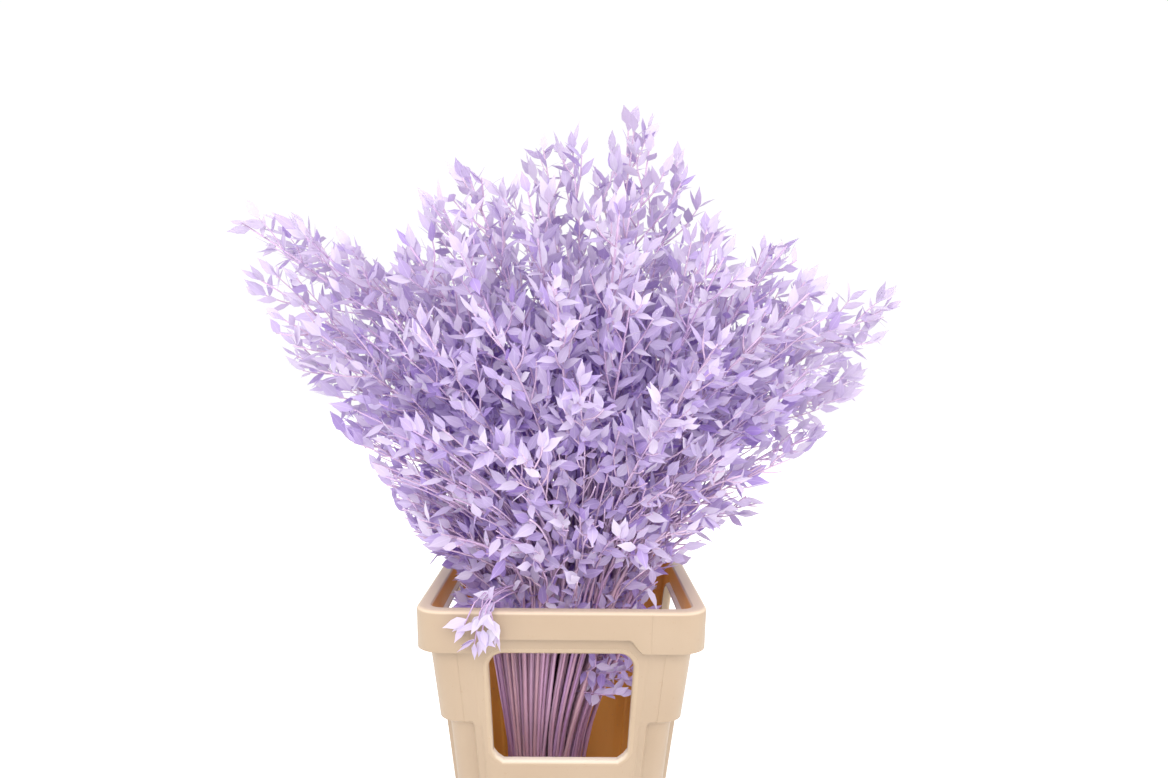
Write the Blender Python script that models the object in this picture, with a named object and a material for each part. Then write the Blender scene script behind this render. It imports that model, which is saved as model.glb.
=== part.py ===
"""A full bunch of lilac dried ruscus stems standing in a square plastic flower bucket.

Metres, +Z up. The origin is the middle of the bucket's flat underside, and the front faces -Y.
"""

import math
import random

import bmesh
import bpy
import numpy as np
from mathutils import Vector
from mathutils.bvhtree import BVHTree

# Bucket: half widths are from the middle to the outside of a side
BUCKET_HEIGHT = 0.300
RIM_HALF = 0.1468
RIM_FACE = 0.0135
RIM_ROUND = 0.0040
RIM_CORNER = 0.029
SKIRT_LOW = 0.258
SKIRT_RISE = 0.0138
SKIRT_THICK = 0.003
FLANGE_THICK = 0.004
BODY_HALF_LOW = 0.0986
BODY_SLOPE = 0.127
BODY_CORNER = 0.021
LEDGE_LOW = 0.176
LEDGE_HIGH = 0.182
LEDGE_STEP = 0.0062
SHOULDER = 0.0024
FOOT_STEP = 0.0026
WALL = 0.003
FLOOR = 0.0035
CORNER_SEGMENTS = 3
# Stations along a side, as shares of its half width: end of the skirt's rise, its start, the corner step
RISE_END = 0.443
RISE_START = 0.564
STEP_IN = 0.72
STEP_OUT = 0.74

# Windows, one in each side
WINDOW_HALF_TOP = 0.0736
WINDOW_HALF_LOW = 0.0691
WINDOW_ROUND = 0.015
WINDOW_CHAMFER = 0.008
WINDOW_SEGMENTS = 3
FRONT_WINDOW = (0.138, 0.254)
SIDE_WINDOW = (0.138, 0.275)

# Bunch: the outline is what shows from EYE, as reach from CROWN_ROOT at angles from upright
EYE = Vector((0.010, -0.986, 0.540))
CROWN_ROOT = Vector((-0.008, 0.0, 0.250))
OUTLINE = (
    (-66, 0.150), (-58, 0.205), (-54, 0.235), (-49.5, 0.300), (-48, 0.390), (-45, 0.460), (-42, 0.545),
    (-38.7, 0.600), (-35, 0.588), (-31, 0.525), (-25.5, 0.455), (-20, 0.500), (-16, 0.520), (-12, 0.548),
    (-7, 0.545), (-2.5, 0.572), (1, 0.580), (4.5, 0.532), (7.8, 0.598), (11, 0.590), (15, 0.562),
    (21, 0.510), (26, 0.462), (30, 0.531), (36, 0.508), (40, 0.505), (45.9, 0.544), (50.4, 0.470),
    (53.8, 0.410), (55.5, 0.350), (60.6, 0.285), (66, 0.200),
)
# Stems that make the outline: angle from upright as seen from EYE, depth of the tip, share of the reach
OUTER_STEMS = (
    (-38.7, 0.00, 1.0), (-35.0, 0.07, 0.98), (-41.5, -0.09, 0.97), (-45.0, 0.05, 0.97), (-48.5, -0.05, 0.96),
    (-52.0, 0.03, 0.96), (-30.5, -0.03, 0.97), (-16.0, 0.05, 0.98), (-11.5, -0.08, 0.97),
    (-2.0, 0.10, 0.98), (1.5, -0.02, 0.99), (7.8, 0.03, 1.0), (10.5, -0.07, 0.97), (15.0, 0.08, 0.98),
    (21.0, -0.03, 0.98), (30.5, 0.02, 0.98), (36.0, 0.10, 0.97), (45.9, 0.00, 1.0), (41.0, -0.10, 0.96),
    (50.4, 0.05, 0.98), (54.0, -0.05, 0.96), (59.0, 0.03, 0.95),
)
STEM_COUNT = 42
SPIRAL_COUNT = 90
SPIRAL_APART = 0.155
GOLDEN_ANGLE = math.radians(137.508)
WIDEST = math.radians(60)
DOME = ((0, 0.560), (20, 0.555), (38, 0.545), (47, 0.470), (54, 0.330), (62, 0.210))
DEPTH_SHARE = 0.90
NECK = Vector((0.000, 0.0, 0.300))
NECK_SPREAD = (0.098, 0.096)
WAIST = Vector((-0.018, 0.0, 0.130))
WAIST_SPREAD = (0.048, 0.052)
FOOT = Vector((-0.018, 0.0, FLOOR + 0.0003))
FOOT_SPREAD = (0.036, 0.042)
STEM_BEND = 0.45
STEM_RADIUS = (0.0029, 0.0016)
STEM_APART = 0.0075
# Leaf nodes along a stem's part above the rim, the last at its tip
STEM_NODES = (0.40, 0.71, 1.0)
NODE_HALF = 0.0012
LEAF_FACES = ((1, 2), (2, 0), (0, 1))

TWIG_SHARES = (0.24, 0.50, 0.80)
LOW_TWIG_SHARE = 0.08
TWIG_LENGTH = (0.150, 0.130, 0.095)
TWIG_RADIUS = (0.0010, 0.0010)
TWIG_NODE = 0.55
TWIG_ANGLE = math.radians(36)
TWIG_APART = 0.0050

# Leaves: each section is a share of the length, a share of the half width and a lift
LEAF_LENGTH = 0.029
LEAF_WIDTH = 0.0135
LEAF_THICK = 0.0013
LEAF_ANGLE = math.radians(50)
TIP_ANGLE = math.radians(12)
LEAF_CLEAR = 0.0008
ROOT_SHARE = 0.25
SIDE_SECTION = (0.42, 1.0, 0.02)
END_SECTIONS = ((0.36, 1.0, 0.03), (0.70, 0.62, -0.02))
SEED = 417

# Two side shoots that the bucket holds back: one hangs over the front rim, one sits behind the front window
RIM_SHOOT = ((-0.060, -0.104, 0.296), (-0.066, -0.150, 0.318), (-0.078, -0.158, 0.276))
WINDOW_SHOOT = ((0.040, -0.066, 0.190), (0.064, -0.080, 0.218), (0.084, -0.086, 0.232))


def clear_scene():
    for thing in list(bpy.data.objects):
        bpy.data.objects.remove(thing, do_unlink=True)


def make_material(name, colour, roughness):
    """A Principled material, with its metallic value at 0."""
    material = bpy.data.materials.new(name)
    material.use_nodes = True
    shader = material.node_tree.nodes["Principled BSDF"]
    shader.inputs["Base Color"].default_value = (*colour, 1.0)
    shader.inputs["Roughness"].default_value = roughness
    shader.inputs["Metallic"].default_value = 0.0
    return material


def make_object(name, vertices, faces, material=None):
    mesh = bpy.data.meshes.new(name)
    mesh.from_pydata([tuple(v) for v in vertices], [], faces)
    if material is not None:
        mesh.materials.append(material)
    thing = bpy.data.objects.new(name, mesh)
    bpy.context.scene.collection.objects.link(thing)
    return thing


def face_outward(thing):
    work = bmesh.new()
    work.from_mesh(thing.data)
    bmesh.ops.recalc_face_normals(work, faces=work.faces)
    work.to_mesh(thing.data)
    work.free()


def apply_modifiers(thing):
    """Keeps the mesh that the modifiers make, without the modifiers."""
    graph = bpy.context.evaluated_depsgraph_get()
    made = bpy.data.meshes.new_from_object(thing.evaluated_get(graph))
    thing.modifiers.clear()
    thing.data = made


def body_half(height):
    """Half width of the bucket's wall on its outside, at a height."""
    return BODY_HALF_LOW + BODY_SLOPE * height


def bucket_ring(height, half, corner, step=0.0, rise=0.0):
    """One ring of points round the bucket. step sets the corners in, and rise lifts the middle of a side."""
    stations = [(-STEP_OUT, step, 0.0), (-STEP_IN, 0.0, 0.0), (-RISE_START, 0.0, 0.0), (-RISE_END, 0.0, rise)]
    stations += [(-share, inset, lift) for share, inset, lift in reversed(stations)]
    centre = half - step - corner
    side = [(share * half, inset - half, height + lift) for share, inset, lift in stations]
    for k in range(CORNER_SEGMENTS + 1):
        turn = -math.pi / 2 * (1 - k / CORNER_SEGMENTS)
        side.append((centre + corner * math.cos(turn), -centre + corner * math.sin(turn), height))
    ring = []
    for quarter in range(4):
        c, s = round(math.cos(quarter * math.pi / 2)), round(math.sin(quarter * math.pi / 2))
        ring += [(c * x - s * y, s * x + c * y, z) for x, y, z in side]
    return ring


def window_outline(low, high):
    """A window's outline, as (along the side, height): chamfered below and rounded above."""
    half_low, half_top = WINDOW_HALF_LOW, WINDOW_HALF_TOP
    right = [(half_low - WINDOW_CHAMFER, low), (half_low, low + WINDOW_CHAMFER)]
    for k in range(WINDOW_SEGMENTS + 1):
        turn = math.pi / 2 * k / WINDOW_SEGMENTS
        right.append((half_top - WINDOW_ROUND * (1 - math.cos(turn)), high - WINDOW_ROUND * (1 - math.sin(turn))))
    return right + [(-x, z) for x, z in reversed(right)]


def window_cutter(quarter, low, high):
    """A prism through one wall, which stops short of the skirt."""
    outline = window_outline(low, high)
    near, far = body_half(low) - 0.02, body_half(high) + 0.0025
    c, s = round(math.cos(quarter * math.pi / 2)), round(math.sin(quarter * math.pi / 2))
    points = [(c * x + s * y, s * x - c * y, z) for y in (near, far) for x, z in outline]
    n = len(outline)
    faces = [tuple(range(n)), tuple(range(2 * n - 1, n - 1, -1))]
    faces += [(i, (i + 1) % n, (i + 1) % n + n, i + n) for i in range(n)]
    cutter = make_object(f"window_cutter_{quarter}", points, faces)
    face_outward(cutter)
    return cutter


def make_bucket(material):
    top = BUCKET_HEIGHT
    under = top - FLANGE_THICK
    rings = [
        bucket_ring(0.0, BODY_HALF_LOW, BODY_CORNER - 0.004, FOOT_STEP),
        bucket_ring(LEDGE_LOW, body_half(LEDGE_LOW), BODY_CORNER - 0.003, LEDGE_STEP),
        bucket_ring(LEDGE_HIGH, body_half(LEDGE_HIGH), BODY_CORNER, -SHOULDER),
        bucket_ring(under, body_half(under), BODY_CORNER + 0.001, -SHOULDER),
        bucket_ring(under, RIM_HALF - SKIRT_THICK, RIM_CORNER - SKIRT_THICK),
        bucket_ring(SKIRT_LOW, RIM_HALF - SKIRT_THICK - 0.0012, RIM_CORNER - SKIRT_THICK, 0.0, SKIRT_RISE),
        bucket_ring(SKIRT_LOW, RIM_HALF - 0.0012, RIM_CORNER, 0.0, SKIRT_RISE),
        bucket_ring(top - RIM_ROUND, RIM_HALF, RIM_CORNER),
        bucket_ring(top, RIM_HALF - RIM_ROUND, RIM_CORNER - RIM_ROUND),
        bucket_ring(top, RIM_HALF - RIM_FACE, RIM_CORNER - RIM_FACE),
        bucket_ring(top - 0.003, RIM_HALF - RIM_FACE - 0.0015, BODY_CORNER - WALL),
        bucket_ring(LEDGE_HIGH + 0.002, body_half(LEDGE_HIGH) - WALL, BODY_CORNER - WALL),
        bucket_ring(LEDGE_LOW + 0.002, body_half(LEDGE_LOW) - WALL, BODY_CORNER - 0.006, LEDGE_STEP),
        bucket_ring(FLOOR, body_half(FLOOR) - WALL, BODY_CORNER - 0.007, FOOT_STEP),
    ]
    n = len(rings[0])
    vertices = [point for ring in rings for point in ring]
    faces = [tuple(range(n))]
    for level in range(len(rings) - 1):
        low, high = level * n, (level + 1) * n
        faces += [(low + i, low + (i + 1) % n, high + (i + 1) % n, high + i) for i in range(n)]
    faces.append(tuple(range((len(rings) - 1) * n, len(rings) * n)))
    bucket = make_object("flower_bucket", vertices, faces, material)
    face_outward(bucket)
    for quarter in range(4):
        low, high = FRONT_WINDOW if quarter % 2 == 0 else SIDE_WINDOW
        cutter = window_cutter(quarter, low, high)
        cut = bucket.modifiers.new(cutter.name, "BOOLEAN")
        cut.operation = "DIFFERENCE"
        cut.object = cutter
        apply_modifiers(bucket)
        bpy.data.objects.remove(cutter, do_unlink=True)
    return bucket


def read_table(table, at):
    return float(np.interp(at, [row[0] for row in table], [row[1] for row in table]))


def as_seen(point):
    """Angle from upright and reach from the crown's root, moved along the sight line to the middle plane."""
    scale = EYE.y / (EYE.y - point.y)
    across = EYE.x + (point.x - EYE.x) * scale - CROWN_ROOT.x
    up = EYE.z + (point.z - EYE.z) * scale - CROWN_ROOT.z
    return math.degrees(math.atan2(across, up)), math.hypot(across, up)


def outline_share(point):
    """How far out a point shows, as a share of the outline's reach at its angle."""
    angle, reach = as_seen(point)
    if abs(angle) > abs(OUTLINE[0][0]):
        return 2.0
    return reach / read_table(OUTLINE, angle)


def outline_tip(angle, depth, share):
    """The point at a depth that shows at an angle and a share of the outline's reach."""
    reach = share * read_table(OUTLINE, angle) - 0.8 * LEAF_LENGTH
    across = CROWN_ROOT.x + reach * math.sin(math.radians(angle))
    up = CROWN_ROOT.z + reach * math.cos(math.radians(angle))
    scale = (EYE.y - depth) / EYE.y
    return Vector((EYE.x + (across - EYE.x) * scale, depth, EYE.z + (up - EYE.z) * scale))


def dome_tip(spot, share):
    """The tip of a stem whose place in the bunch is spot, a point of the unit disc."""
    lean = WIDEST * spot.length
    heading = spot.normalized() if spot.length > 0 else Vector((0.0, 0.0))
    for _ in range(40):
        reach = share * read_table(DOME, math.degrees(lean))
        tip = CROWN_ROOT + reach * Vector((
            math.sin(lean) * heading.x, math.sin(lean) * heading.y * DEPTH_SHARE, math.cos(lean),
        ))
        if outline_share(tip) < 0.96:
            return tip
        share *= 0.97
    return tip


def spot_of(tip):
    """The place in the bunch, on the unit disc, of the stem that ends at tip."""
    out = Vector((tip.x - CROWN_ROOT.x, tip.y / DEPTH_SHARE))
    lean = math.atan2(out.length, tip.z - CROWN_ROOT.z)
    return out.normalized() * min(1.0, lean / WIDEST)


def all_tips(draw):
    """The outline's stems first, then the rest on a spiral, where it leaves room."""
    tips = [outline_tip(*row) for row in OUTER_STEMS]
    spots = [spot_of(tip) for tip in tips]
    for k in range(SPIRAL_COUNT):
        out = math.sqrt((k + 0.5) / SPIRAL_COUNT)
        spot = Vector((out * math.cos(k * GOLDEN_ANGLE), out * math.sin(k * GOLDEN_ANGLE)))
        share = draw.uniform(0.86, 0.98)
        if len(tips) < STEM_COUNT and min((spot - other).length for other in spots) > SPIRAL_APART:
            tips.append(dome_tip(spot, share))
            spots.append(spot)
    return tips, spots


def stem_point(stem, share):
    """A point of the stem's upper part: 0 is at the bucket's rim and 1 is the tip."""
    waist, neck, tip = stem["waist"], stem["neck"], stem["tip"]
    rise = (neck - waist).normalized()
    bend = neck + rise * STEM_BEND * (tip - neck).length
    return neck * (1 - share) ** 2 + bend * 2 * share * (1 - share) + tip * share ** 2


def stem_path(stem):
    """The points of a stem: cut end, waist of the bunch, rim, and its leaf nodes, the last at the tip."""
    return [stem["foot"], stem["waist"], stem["neck"]] + [stem_point(stem, share) for share in STEM_NODES]


def chain(points, apart=0.004):
    """Points along a polyline, a few millimetres apart, for measuring distances."""
    made = []
    for a, b in zip(points, points[1:]):
        count = max(2, int((b - a).length / apart) + 1)
        made += [a.lerp(b, k / count) for k in range(count)]
    made.append(points[-1])
    return np.array(made)


def nearest(chain_a, chain_b):
    apart = chain_a[:, None, :] - chain_b[None, :, :]
    return math.sqrt(float((apart ** 2).sum(axis=2).min()))


def plan_stems():
    """Where every stem and side twig runs. Each keeps clear of those before it."""
    draw = random.Random(SEED)
    stems, chains = [], []
    for number, (tip, spot) in enumerate(zip(*all_tips(draw))):
        best = None
        for attempt in range(40):
            shift = Vector((draw.uniform(-1, 1), draw.uniform(-1, 1))) * 0.02 * attempt ** 0.5
            place = spot + shift
            stem = {
                "foot": FOOT + Vector((place.x * FOOT_SPREAD[0], place.y * FOOT_SPREAD[1], 0.0)),
                "waist": WAIST + Vector((place.x * WAIST_SPREAD[0], place.y * WAIST_SPREAD[1], 0.0)),
                "neck": NECK + Vector((place.x * NECK_SPREAD[0], place.y * NECK_SPREAD[1], 0.0)),
                "tip": tip,
                "twigs": [],
            }
            line = chain(stem_path(stem))
            room = min((nearest(line, other) for _, other in chains), default=1.0)
            if best is None or room > best[0]:
                best = (room, stem, line)
            if room > STEM_APART:
                break
        stems.append(best[1])
        chains.append((number, best[2]))
    add_held_back_shoots(stems, chains)
    for number, stem in enumerate(stems):
        for k, share in enumerate(TWIG_SHARES):
            twig = plan_twig(draw, stem, number, k, share, chains)
            if twig is not None:
                stem["twigs"].append(twig)
                chains.append((number, chain(twig)))
    return stems


def add_held_back_shoots(stems, chains):
    """The two shoots that the bucket holds back grow from the stem that passes nearest."""
    for shoot in (RIM_SHOOT, WINDOW_SHOOT):
        route = [Vector(point) for point in shoot]
        first = np.array([route[0]])
        owner = min(range(len(stems)), key=lambda i: nearest(chains[i][1], first))
        line = chains[owner][1]
        start = Vector(line[int(np.argmin(((line - first) ** 2).sum(axis=1)))])
        twig = [start] + route[1:]
        stems[owner]["twigs"].append(twig)
        chains.append((owner, chain(twig)))


def plan_twig(draw, stem, number, k, share, chains):
    """A side twig that leaves the stem at TWIG_ANGLE and bends back towards the stem's own direction."""
    if k == 0 and number % 2:
        share = LOW_TWIG_SHARE
    start, along = stem_run(stem, share)
    side = along.cross(Vector((0.0, 0.0, 1.0)))
    side = side.normalized() if side.length > 0.05 else Vector((1.0, 0.0, 0.0))
    other = along.cross(side)
    length = TWIG_LENGTH[k] * (stem["tip"] - stem["neck"]).length / 0.5
    for attempt in range(16):
        turn = number * 2.4 + k * GOLDEN_ANGLE + attempt * 0.9 + draw.uniform(-0.4, 0.4)
        out = side * math.cos(turn) + other * math.sin(turn)
        reach = length * draw.uniform(0.85, 1.1) * (1 - 0.03 * attempt)
        first = along * math.cos(TWIG_ANGLE) + out * math.sin(TWIG_ANGLE)
        second = along * math.cos(0.7 * TWIG_ANGLE) + out * math.sin(0.7 * TWIG_ANGLE)
        middle = start + first * reach * TWIG_NODE
        twig = [start, middle, middle + second * reach * (1 - TWIG_NODE)]
        if outline_share(twig[2]) > 0.985 or twig[2].z < BUCKET_HEIGHT + 0.05:
            continue
        line = chain(twig)
        others = [other for owner, other in chains if owner != number]
        own = [other for owner, other in chains if owner == number][1:]
        if all(nearest(line, other) > TWIG_APART for other in others) and all(
                nearest(line[3:], other) > TWIG_APART for other in own):
            return twig
    return None


def stem_run(stem, share):
    """A point on the faceted stem above the rim, and the direction of its run there."""
    shares = (0.0,) + STEM_NODES
    for low, high in zip(shares, shares[1:]):
        if share <= high:
            a, b = stem_point(stem, low), stem_point(stem, high)
            return a.lerp(b, (share - low) / (high - low)), (b - a).normalized()
    raise ValueError("share past the tip")


def frame_along(direction, normal):
    """Side and up directions square to a direction, with up as near to normal as it gets."""
    side = direction.cross(normal)
    if side.length < 0.05:
        side = direction.cross(Vector((0.3, 1.0, 0.2)))
    side.normalize()
    return side, side.cross(direction).normalized()


def run_at(points, i):
    """The direction of a polyline at one of its points."""
    return (points[min(i + 1, len(points) - 1)] - points[max(i - 1, 0)]).normalized()


def facing(point):
    """The direction that leaves at a point mostly face: out of the bunch, up and a little to the front."""
    return (Vector((point.x, point.y, 0.0)).normalized() + Vector((0.0, -0.35, 0.75))).normalized()


def upper_side(points):
    """The upper side of a shoot, square to its mean direction."""
    mean = (points[-1] - points[0]).normalized()
    up = facing(points[-1])
    up -= mean * up.dot(mean)
    if up.length < 0.15:
        up = mean.cross(Vector((1.0, 0.4, 0.0)))
    return up.normalized()


def make_shoot(points, radii, first_node):
    """A shoot's points, with its section at each and the leaves that grow there, none at first."""
    normal = upper_side(points)
    stations = []
    for i, point in enumerate(points):
        direction = run_at(points, i)
        side, up = frame_along(direction, normal)
        radius = radii[0] + (radii[1] - radii[0]) * i / (len(points) - 1)
        stations.append({
            "at": point, "direction": direction, "side": side, "up": up, "radius": radius,
            "leaves": {}, "node": i >= first_node,
        })
    return {"stations": stations, "end_leaf": None, "normal": normal}


def ring_at(station, shift=0.0):
    """The three corners of a shoot's section: left, right and below."""
    middle = station["at"] + station["direction"] * shift
    side, up, radius = station["side"], station["up"], station["radius"]
    return [
        middle - side * radius * math.cos(math.pi / 6) + up * radius / 2,
        middle + side * radius * math.cos(math.pi / 6) + up * radius / 2,
        middle - up * radius,
    ]


def blade_frame(leaf):
    across = leaf["along"].cross(leaf["normal"]).normalized()
    return across, across.cross(leaf["along"])


def blade_ring(leaf, section, swell=0.0):
    """One section of a leaf: left edge, right edge and keel."""
    share, wide, lift = section
    across, normal = blade_frame(leaf)
    length = leaf["length"]
    middle = leaf["base"] + leaf["along"] * length * share + normal * length * (lift - 0.4 * leaf["droop"] * share)
    half = (leaf["width"] / 2 + swell) * wide
    return [
        middle - across * half + normal * swell,
        middle + across * half + normal * swell,
        middle - normal * (LEAF_THICK + swell) * (0.6 + 0.4 * wide),
    ]


def blade_tip(leaf, swell=0.0):
    across, normal = blade_frame(leaf)
    return leaf["base"] + leaf["along"] * (leaf["length"] + swell) - normal * leaf["length"] * leaf["droop"]


def flat_direction(point, middle, leaf):
    """The direction from middle to point, seen along the leaf."""
    across, normal = blade_frame(leaf)
    seen = Vector(((point - middle).dot(across), (point - middle).dot(normal)))
    return seen.normalized() if seen.length > 0 else seen


def strip_between(low, low_turns, high, high_turns):
    """Triangles between two loops that run the same way round, matched by direction."""
    n, m = len(low), len(high)
    i, j = max(((i, j) for i in range(n) for j in range(m)), key=lambda p: low_turns[p[0]].dot(high_turns[p[1]]))
    faces, a, b = [], 0, 0
    while a < n or b < m:
        low_now, low_next = (i + a) % n, (i + a + 1) % n
        high_now, high_next = (j + b) % m, (j + b + 1) % m
        fits_low = low_turns[low_next].dot(high_turns[high_now])
        fits_high = low_turns[low_now].dot(high_turns[high_next])
        if a < n and (b == m or fits_low >= fits_high):
            faces.append((low[low_now], low[low_next], high[high_now]))
            a += 1
        else:
            faces.append((low[low_now], high[high_next], high[high_now]))
            b += 1
    return faces


def add_side_leaf(vertices, faces, corners, leaf):
    """Draws a leaf out of a shoot's face, whose corners it takes the place of."""
    start = len(vertices)
    vertices += blade_ring(leaf, SIDE_SECTION) + [blade_tip(leaf)]
    high = [start, start + 1, start + 2]
    low_middle = sum((vertices[i] for i in corners), Vector()) / len(corners)
    high_middle = (vertices[start] + vertices[start + 1]) / 2
    low_turns = [flat_direction(vertices[i], low_middle, leaf) for i in corners]
    high_turns = [flat_direction(vertices[i], high_middle, leaf) for i in high]
    faces += strip_between(corners, low_turns, high, high_turns)
    faces += [(high[k], high[(k + 1) % 3], start + 3) for k in range(3)]


def shoot_mesh(shoot, on_floor=False):
    """Vertices and faces of a shoot with its side leaves, running out into its end leaf or ending flat."""
    vertices, faces, rings = [], [], []
    for station in shoot["stations"]:
        shifts = (-NODE_HALF, NODE_HALF) if station["node"] else (0.0,)
        for shift in shifts:
            rings.append(len(vertices))
            vertices += ring_at(station, shift)
            if len(rings) > 1:
                low, high = rings[-2], rings[-1]
                leaves = station["leaves"] if shift > 0 else {}
                for k in range(3):
                    a, b = low + k, low + (k + 1) % 3
                    c, d = high + (k + 1) % 3, high + k
                    if k in leaves:
                        leaves[k]["corners"] = (a, b, c, d)
                    else:
                        faces += [(a, b, c), (a, c, d)]
    if on_floor:
        for corner in vertices[:3]:
            corner.z = FOOT.z
    faces.append((0, 2, 1))
    end = rings[-1]
    if shoot["end_leaf"] is None:
        faces.append((end, end + 1, end + 2))
    else:
        for section in END_SECTIONS:
            start = len(vertices)
            vertices += blade_ring(shoot["end_leaf"], section)
            for k in range(3):
                a, b = end + k, end + (k + 1) % 3
                faces += [(a, b, start + (k + 1) % 3), (a, start + (k + 1) % 3, start + k)]
            end = start
        vertices.append(blade_tip(shoot["end_leaf"]))
        faces += [(end + k, end + (k + 1) % 3, len(vertices) - 1) for k in range(3)]
    for station in shoot["stations"]:
        for leaf in station["leaves"].values():
            add_side_leaf(vertices, faces, leaf["corners"], leaf)
    return vertices, faces


def swollen_leaf(leaf, from_share=0.0):
    """A leaf a little larger than it is, as a closed shape for measuring what it meets."""
    rings = [blade_ring(leaf, section, LEAF_CLEAR) for section in END_SECTIONS]
    base = leaf["base"] + leaf["along"] * leaf["length"] * from_share
    vertices = [base] + rings[0] + rings[1] + [blade_tip(leaf, LEAF_CLEAR)]
    faces = [(1 + (k + 1) % 3, 1 + k, 0) for k in range(3)]
    for k in range(3):
        a, b = 1 + k, 1 + (k + 1) % 3
        faces += [(a, b, b + 3), (a, b + 3, a + 3)]
    faces += [(4 + k, 4 + (k + 1) % 3, 7) for k in range(3)]
    return vertices, faces


def box_of(points):
    return (
        tuple(min(p[i] for p in points) for i in range(3)),
        tuple(max(p[i] for p in points) for i in range(3)),
    )


def boxes_meet(a, b):
    return all(a[0][i] <= b[1][i] and b[0][i] <= a[1][i] for i in range(3))


class Clearance:
    """What is placed so far, to keep each new leaf clear of it."""

    def __init__(self):
        self.things = []

    def add(self, owner, vertices, faces):
        """owner is the shoot whose wood it is, or None for a leaf or the bucket."""
        tree = BVHTree.FromPolygons([tuple(v) for v in vertices], faces)
        self.things.append((owner, box_of(vertices), tree))

    def is_clear(self, owner, vertices, faces, skip_own):
        box = box_of(vertices)
        tree = None
        for other, other_box, other_tree in self.things:
            if boxes_meet(box, other_box) and not (skip_own and other == owner):
                tree = tree or BVHTree.FromPolygons([tuple(v) for v in vertices], faces)
                if tree.overlap(other_tree):
                    return False
        return True

    def takes(self, owner, leaf):
        """Adds a leaf of a shoot if its tip is inside the outline and it meets nothing but its root."""
        whole, blade = swollen_leaf(leaf), swollen_leaf(leaf, ROOT_SHARE)
        if outline_share(whole[0][-1]) > 1.03:
            return False
        if not self.is_clear(owner, *whole, True) or not self.is_clear(owner, *blade, False):
            return False
        self.add(None, *whole)
        return True


def leaf_of(draw, base, along, normal):
    return {
        "base": base, "along": along, "normal": normal.normalized(),
        "length": LEAF_LENGTH * draw.uniform(0.88, 1.08),
        "width": LEAF_WIDTH * draw.uniform(0.90, 1.08),
        "droop": draw.uniform(-0.02, 0.12),
    }


def scatter(draw, size):
    return Vector([draw.uniform(-size, size) for _ in range(3)])


def grow_end_leaf(draw, clearance, owner, shoot):
    """The leaf that a shoot runs out into, if one is found that is clear."""
    last = shoot["stations"][-1]
    base = last["at"] + last["direction"] * NODE_HALF
    for attempt in range(16):
        along = (last["direction"] + scatter(draw, math.tan(TIP_ANGLE)) * (1 + 0.1 * attempt)).normalized()
        leaf = leaf_of(draw, base, along, shoot["normal"] + scatter(draw, 0.35))
        if clearance.takes(owner, leaf):
            shoot["end_leaf"] = leaf
            return


def grow_side_leaves(draw, clearance, owner, shoot):
    """Leaves out of two of the three faces of each node."""
    nodes = [station for station in shoot["stations"] if station["node"]]
    for i, station in enumerate(nodes):
        for k in LEAF_FACES[(i + owner[1]) % len(LEAF_FACES)]:
            for attempt in range(14):
                angle = math.radians(90 - 120 * k) + draw.uniform(-0.25, 0.25)
                opening = LEAF_ANGLE + draw.uniform(-0.25, 0.25)
                out = station["side"] * math.cos(angle) + station["up"] * math.sin(angle)
                along = (station["direction"] * math.cos(opening) + out * math.sin(opening)).normalized()
                normal = facing(station["at"]) + scatter(draw, 0.5)
                if along.cross(normal).length < 0.35:
                    continue
                leaf = leaf_of(draw, station["at"] + out * station["radius"] / 2, along, normal)
                if clearance.takes(owner, leaf):
                    station["leaves"][k] = leaf
                    break


def bodies_of(work):
    """The faces of each separate body of a bmesh, the largest first."""
    left, bodies = set(work.faces), []
    while left:
        start = left.pop()
        body, reached = {start}, [start]
        while reached:
            for edge in reached.pop().edges:
                for face in edge.link_faces:
                    if face in left:
                        left.discard(face)
                        body.add(face)
                        reached.append(face)
        bodies.append(body)
    return sorted(bodies, key=len, reverse=True)


def drop_scraps(mesh):
    """Deletes all but the largest body. True if what stays is closed."""
    work = bmesh.new()
    work.from_mesh(mesh)
    for scrap in bodies_of(work)[1:]:
        bmesh.ops.delete(work, geom=list(scrap), context="FACES")
    closed = all(len(edge.link_faces) == 2 for edge in work.edges)
    work.to_mesh(mesh)
    work.free()
    return closed


def join_shapes(name, shapes, solver, material):
    """The first shape joined with the rest by one Boolean union. True beside it if it is closed."""
    trunk = make_object(name, *shapes[0], material)
    face_outward(trunk)
    parts = bpy.data.collections.new(name + "_parts")
    bpy.context.scene.collection.children.link(parts)
    for index, (vertices, faces) in enumerate(shapes[1:]):
        piece = make_object(f"{name}_part_{index}", vertices, faces)
        bpy.context.scene.collection.objects.unlink(piece)
        parts.objects.link(piece)
        face_outward(piece)
    union = trunk.modifiers.new("join", "BOOLEAN")
    union.operation = "UNION"
    union.operand_type = "COLLECTION"
    union.collection = parts
    union.solver = solver
    apply_modifiers(trunk)
    for piece in list(parts.objects):
        bpy.data.objects.remove(piece, do_unlink=True)
    bpy.data.collections.remove(parts)
    return trunk, drop_scraps(trunk.data)


def make_stem(number, shoots, material):
    """One stem with its twigs and leaves. Where both solvers fail, its last twig is left out."""
    name = f"ruscus_stem_{number + 1:02d}"
    shapes = [shoot_mesh(shoot, on_floor=index == 0) for index, shoot in enumerate(shoots)]
    while True:
        for solver in ("EXACT", "MANIFOLD"):
            trunk, closed = join_shapes(name, shapes, solver, material)
            if closed:
                return trunk
            bpy.data.objects.remove(trunk, do_unlink=True)
        shapes = shapes[:-1]


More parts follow.
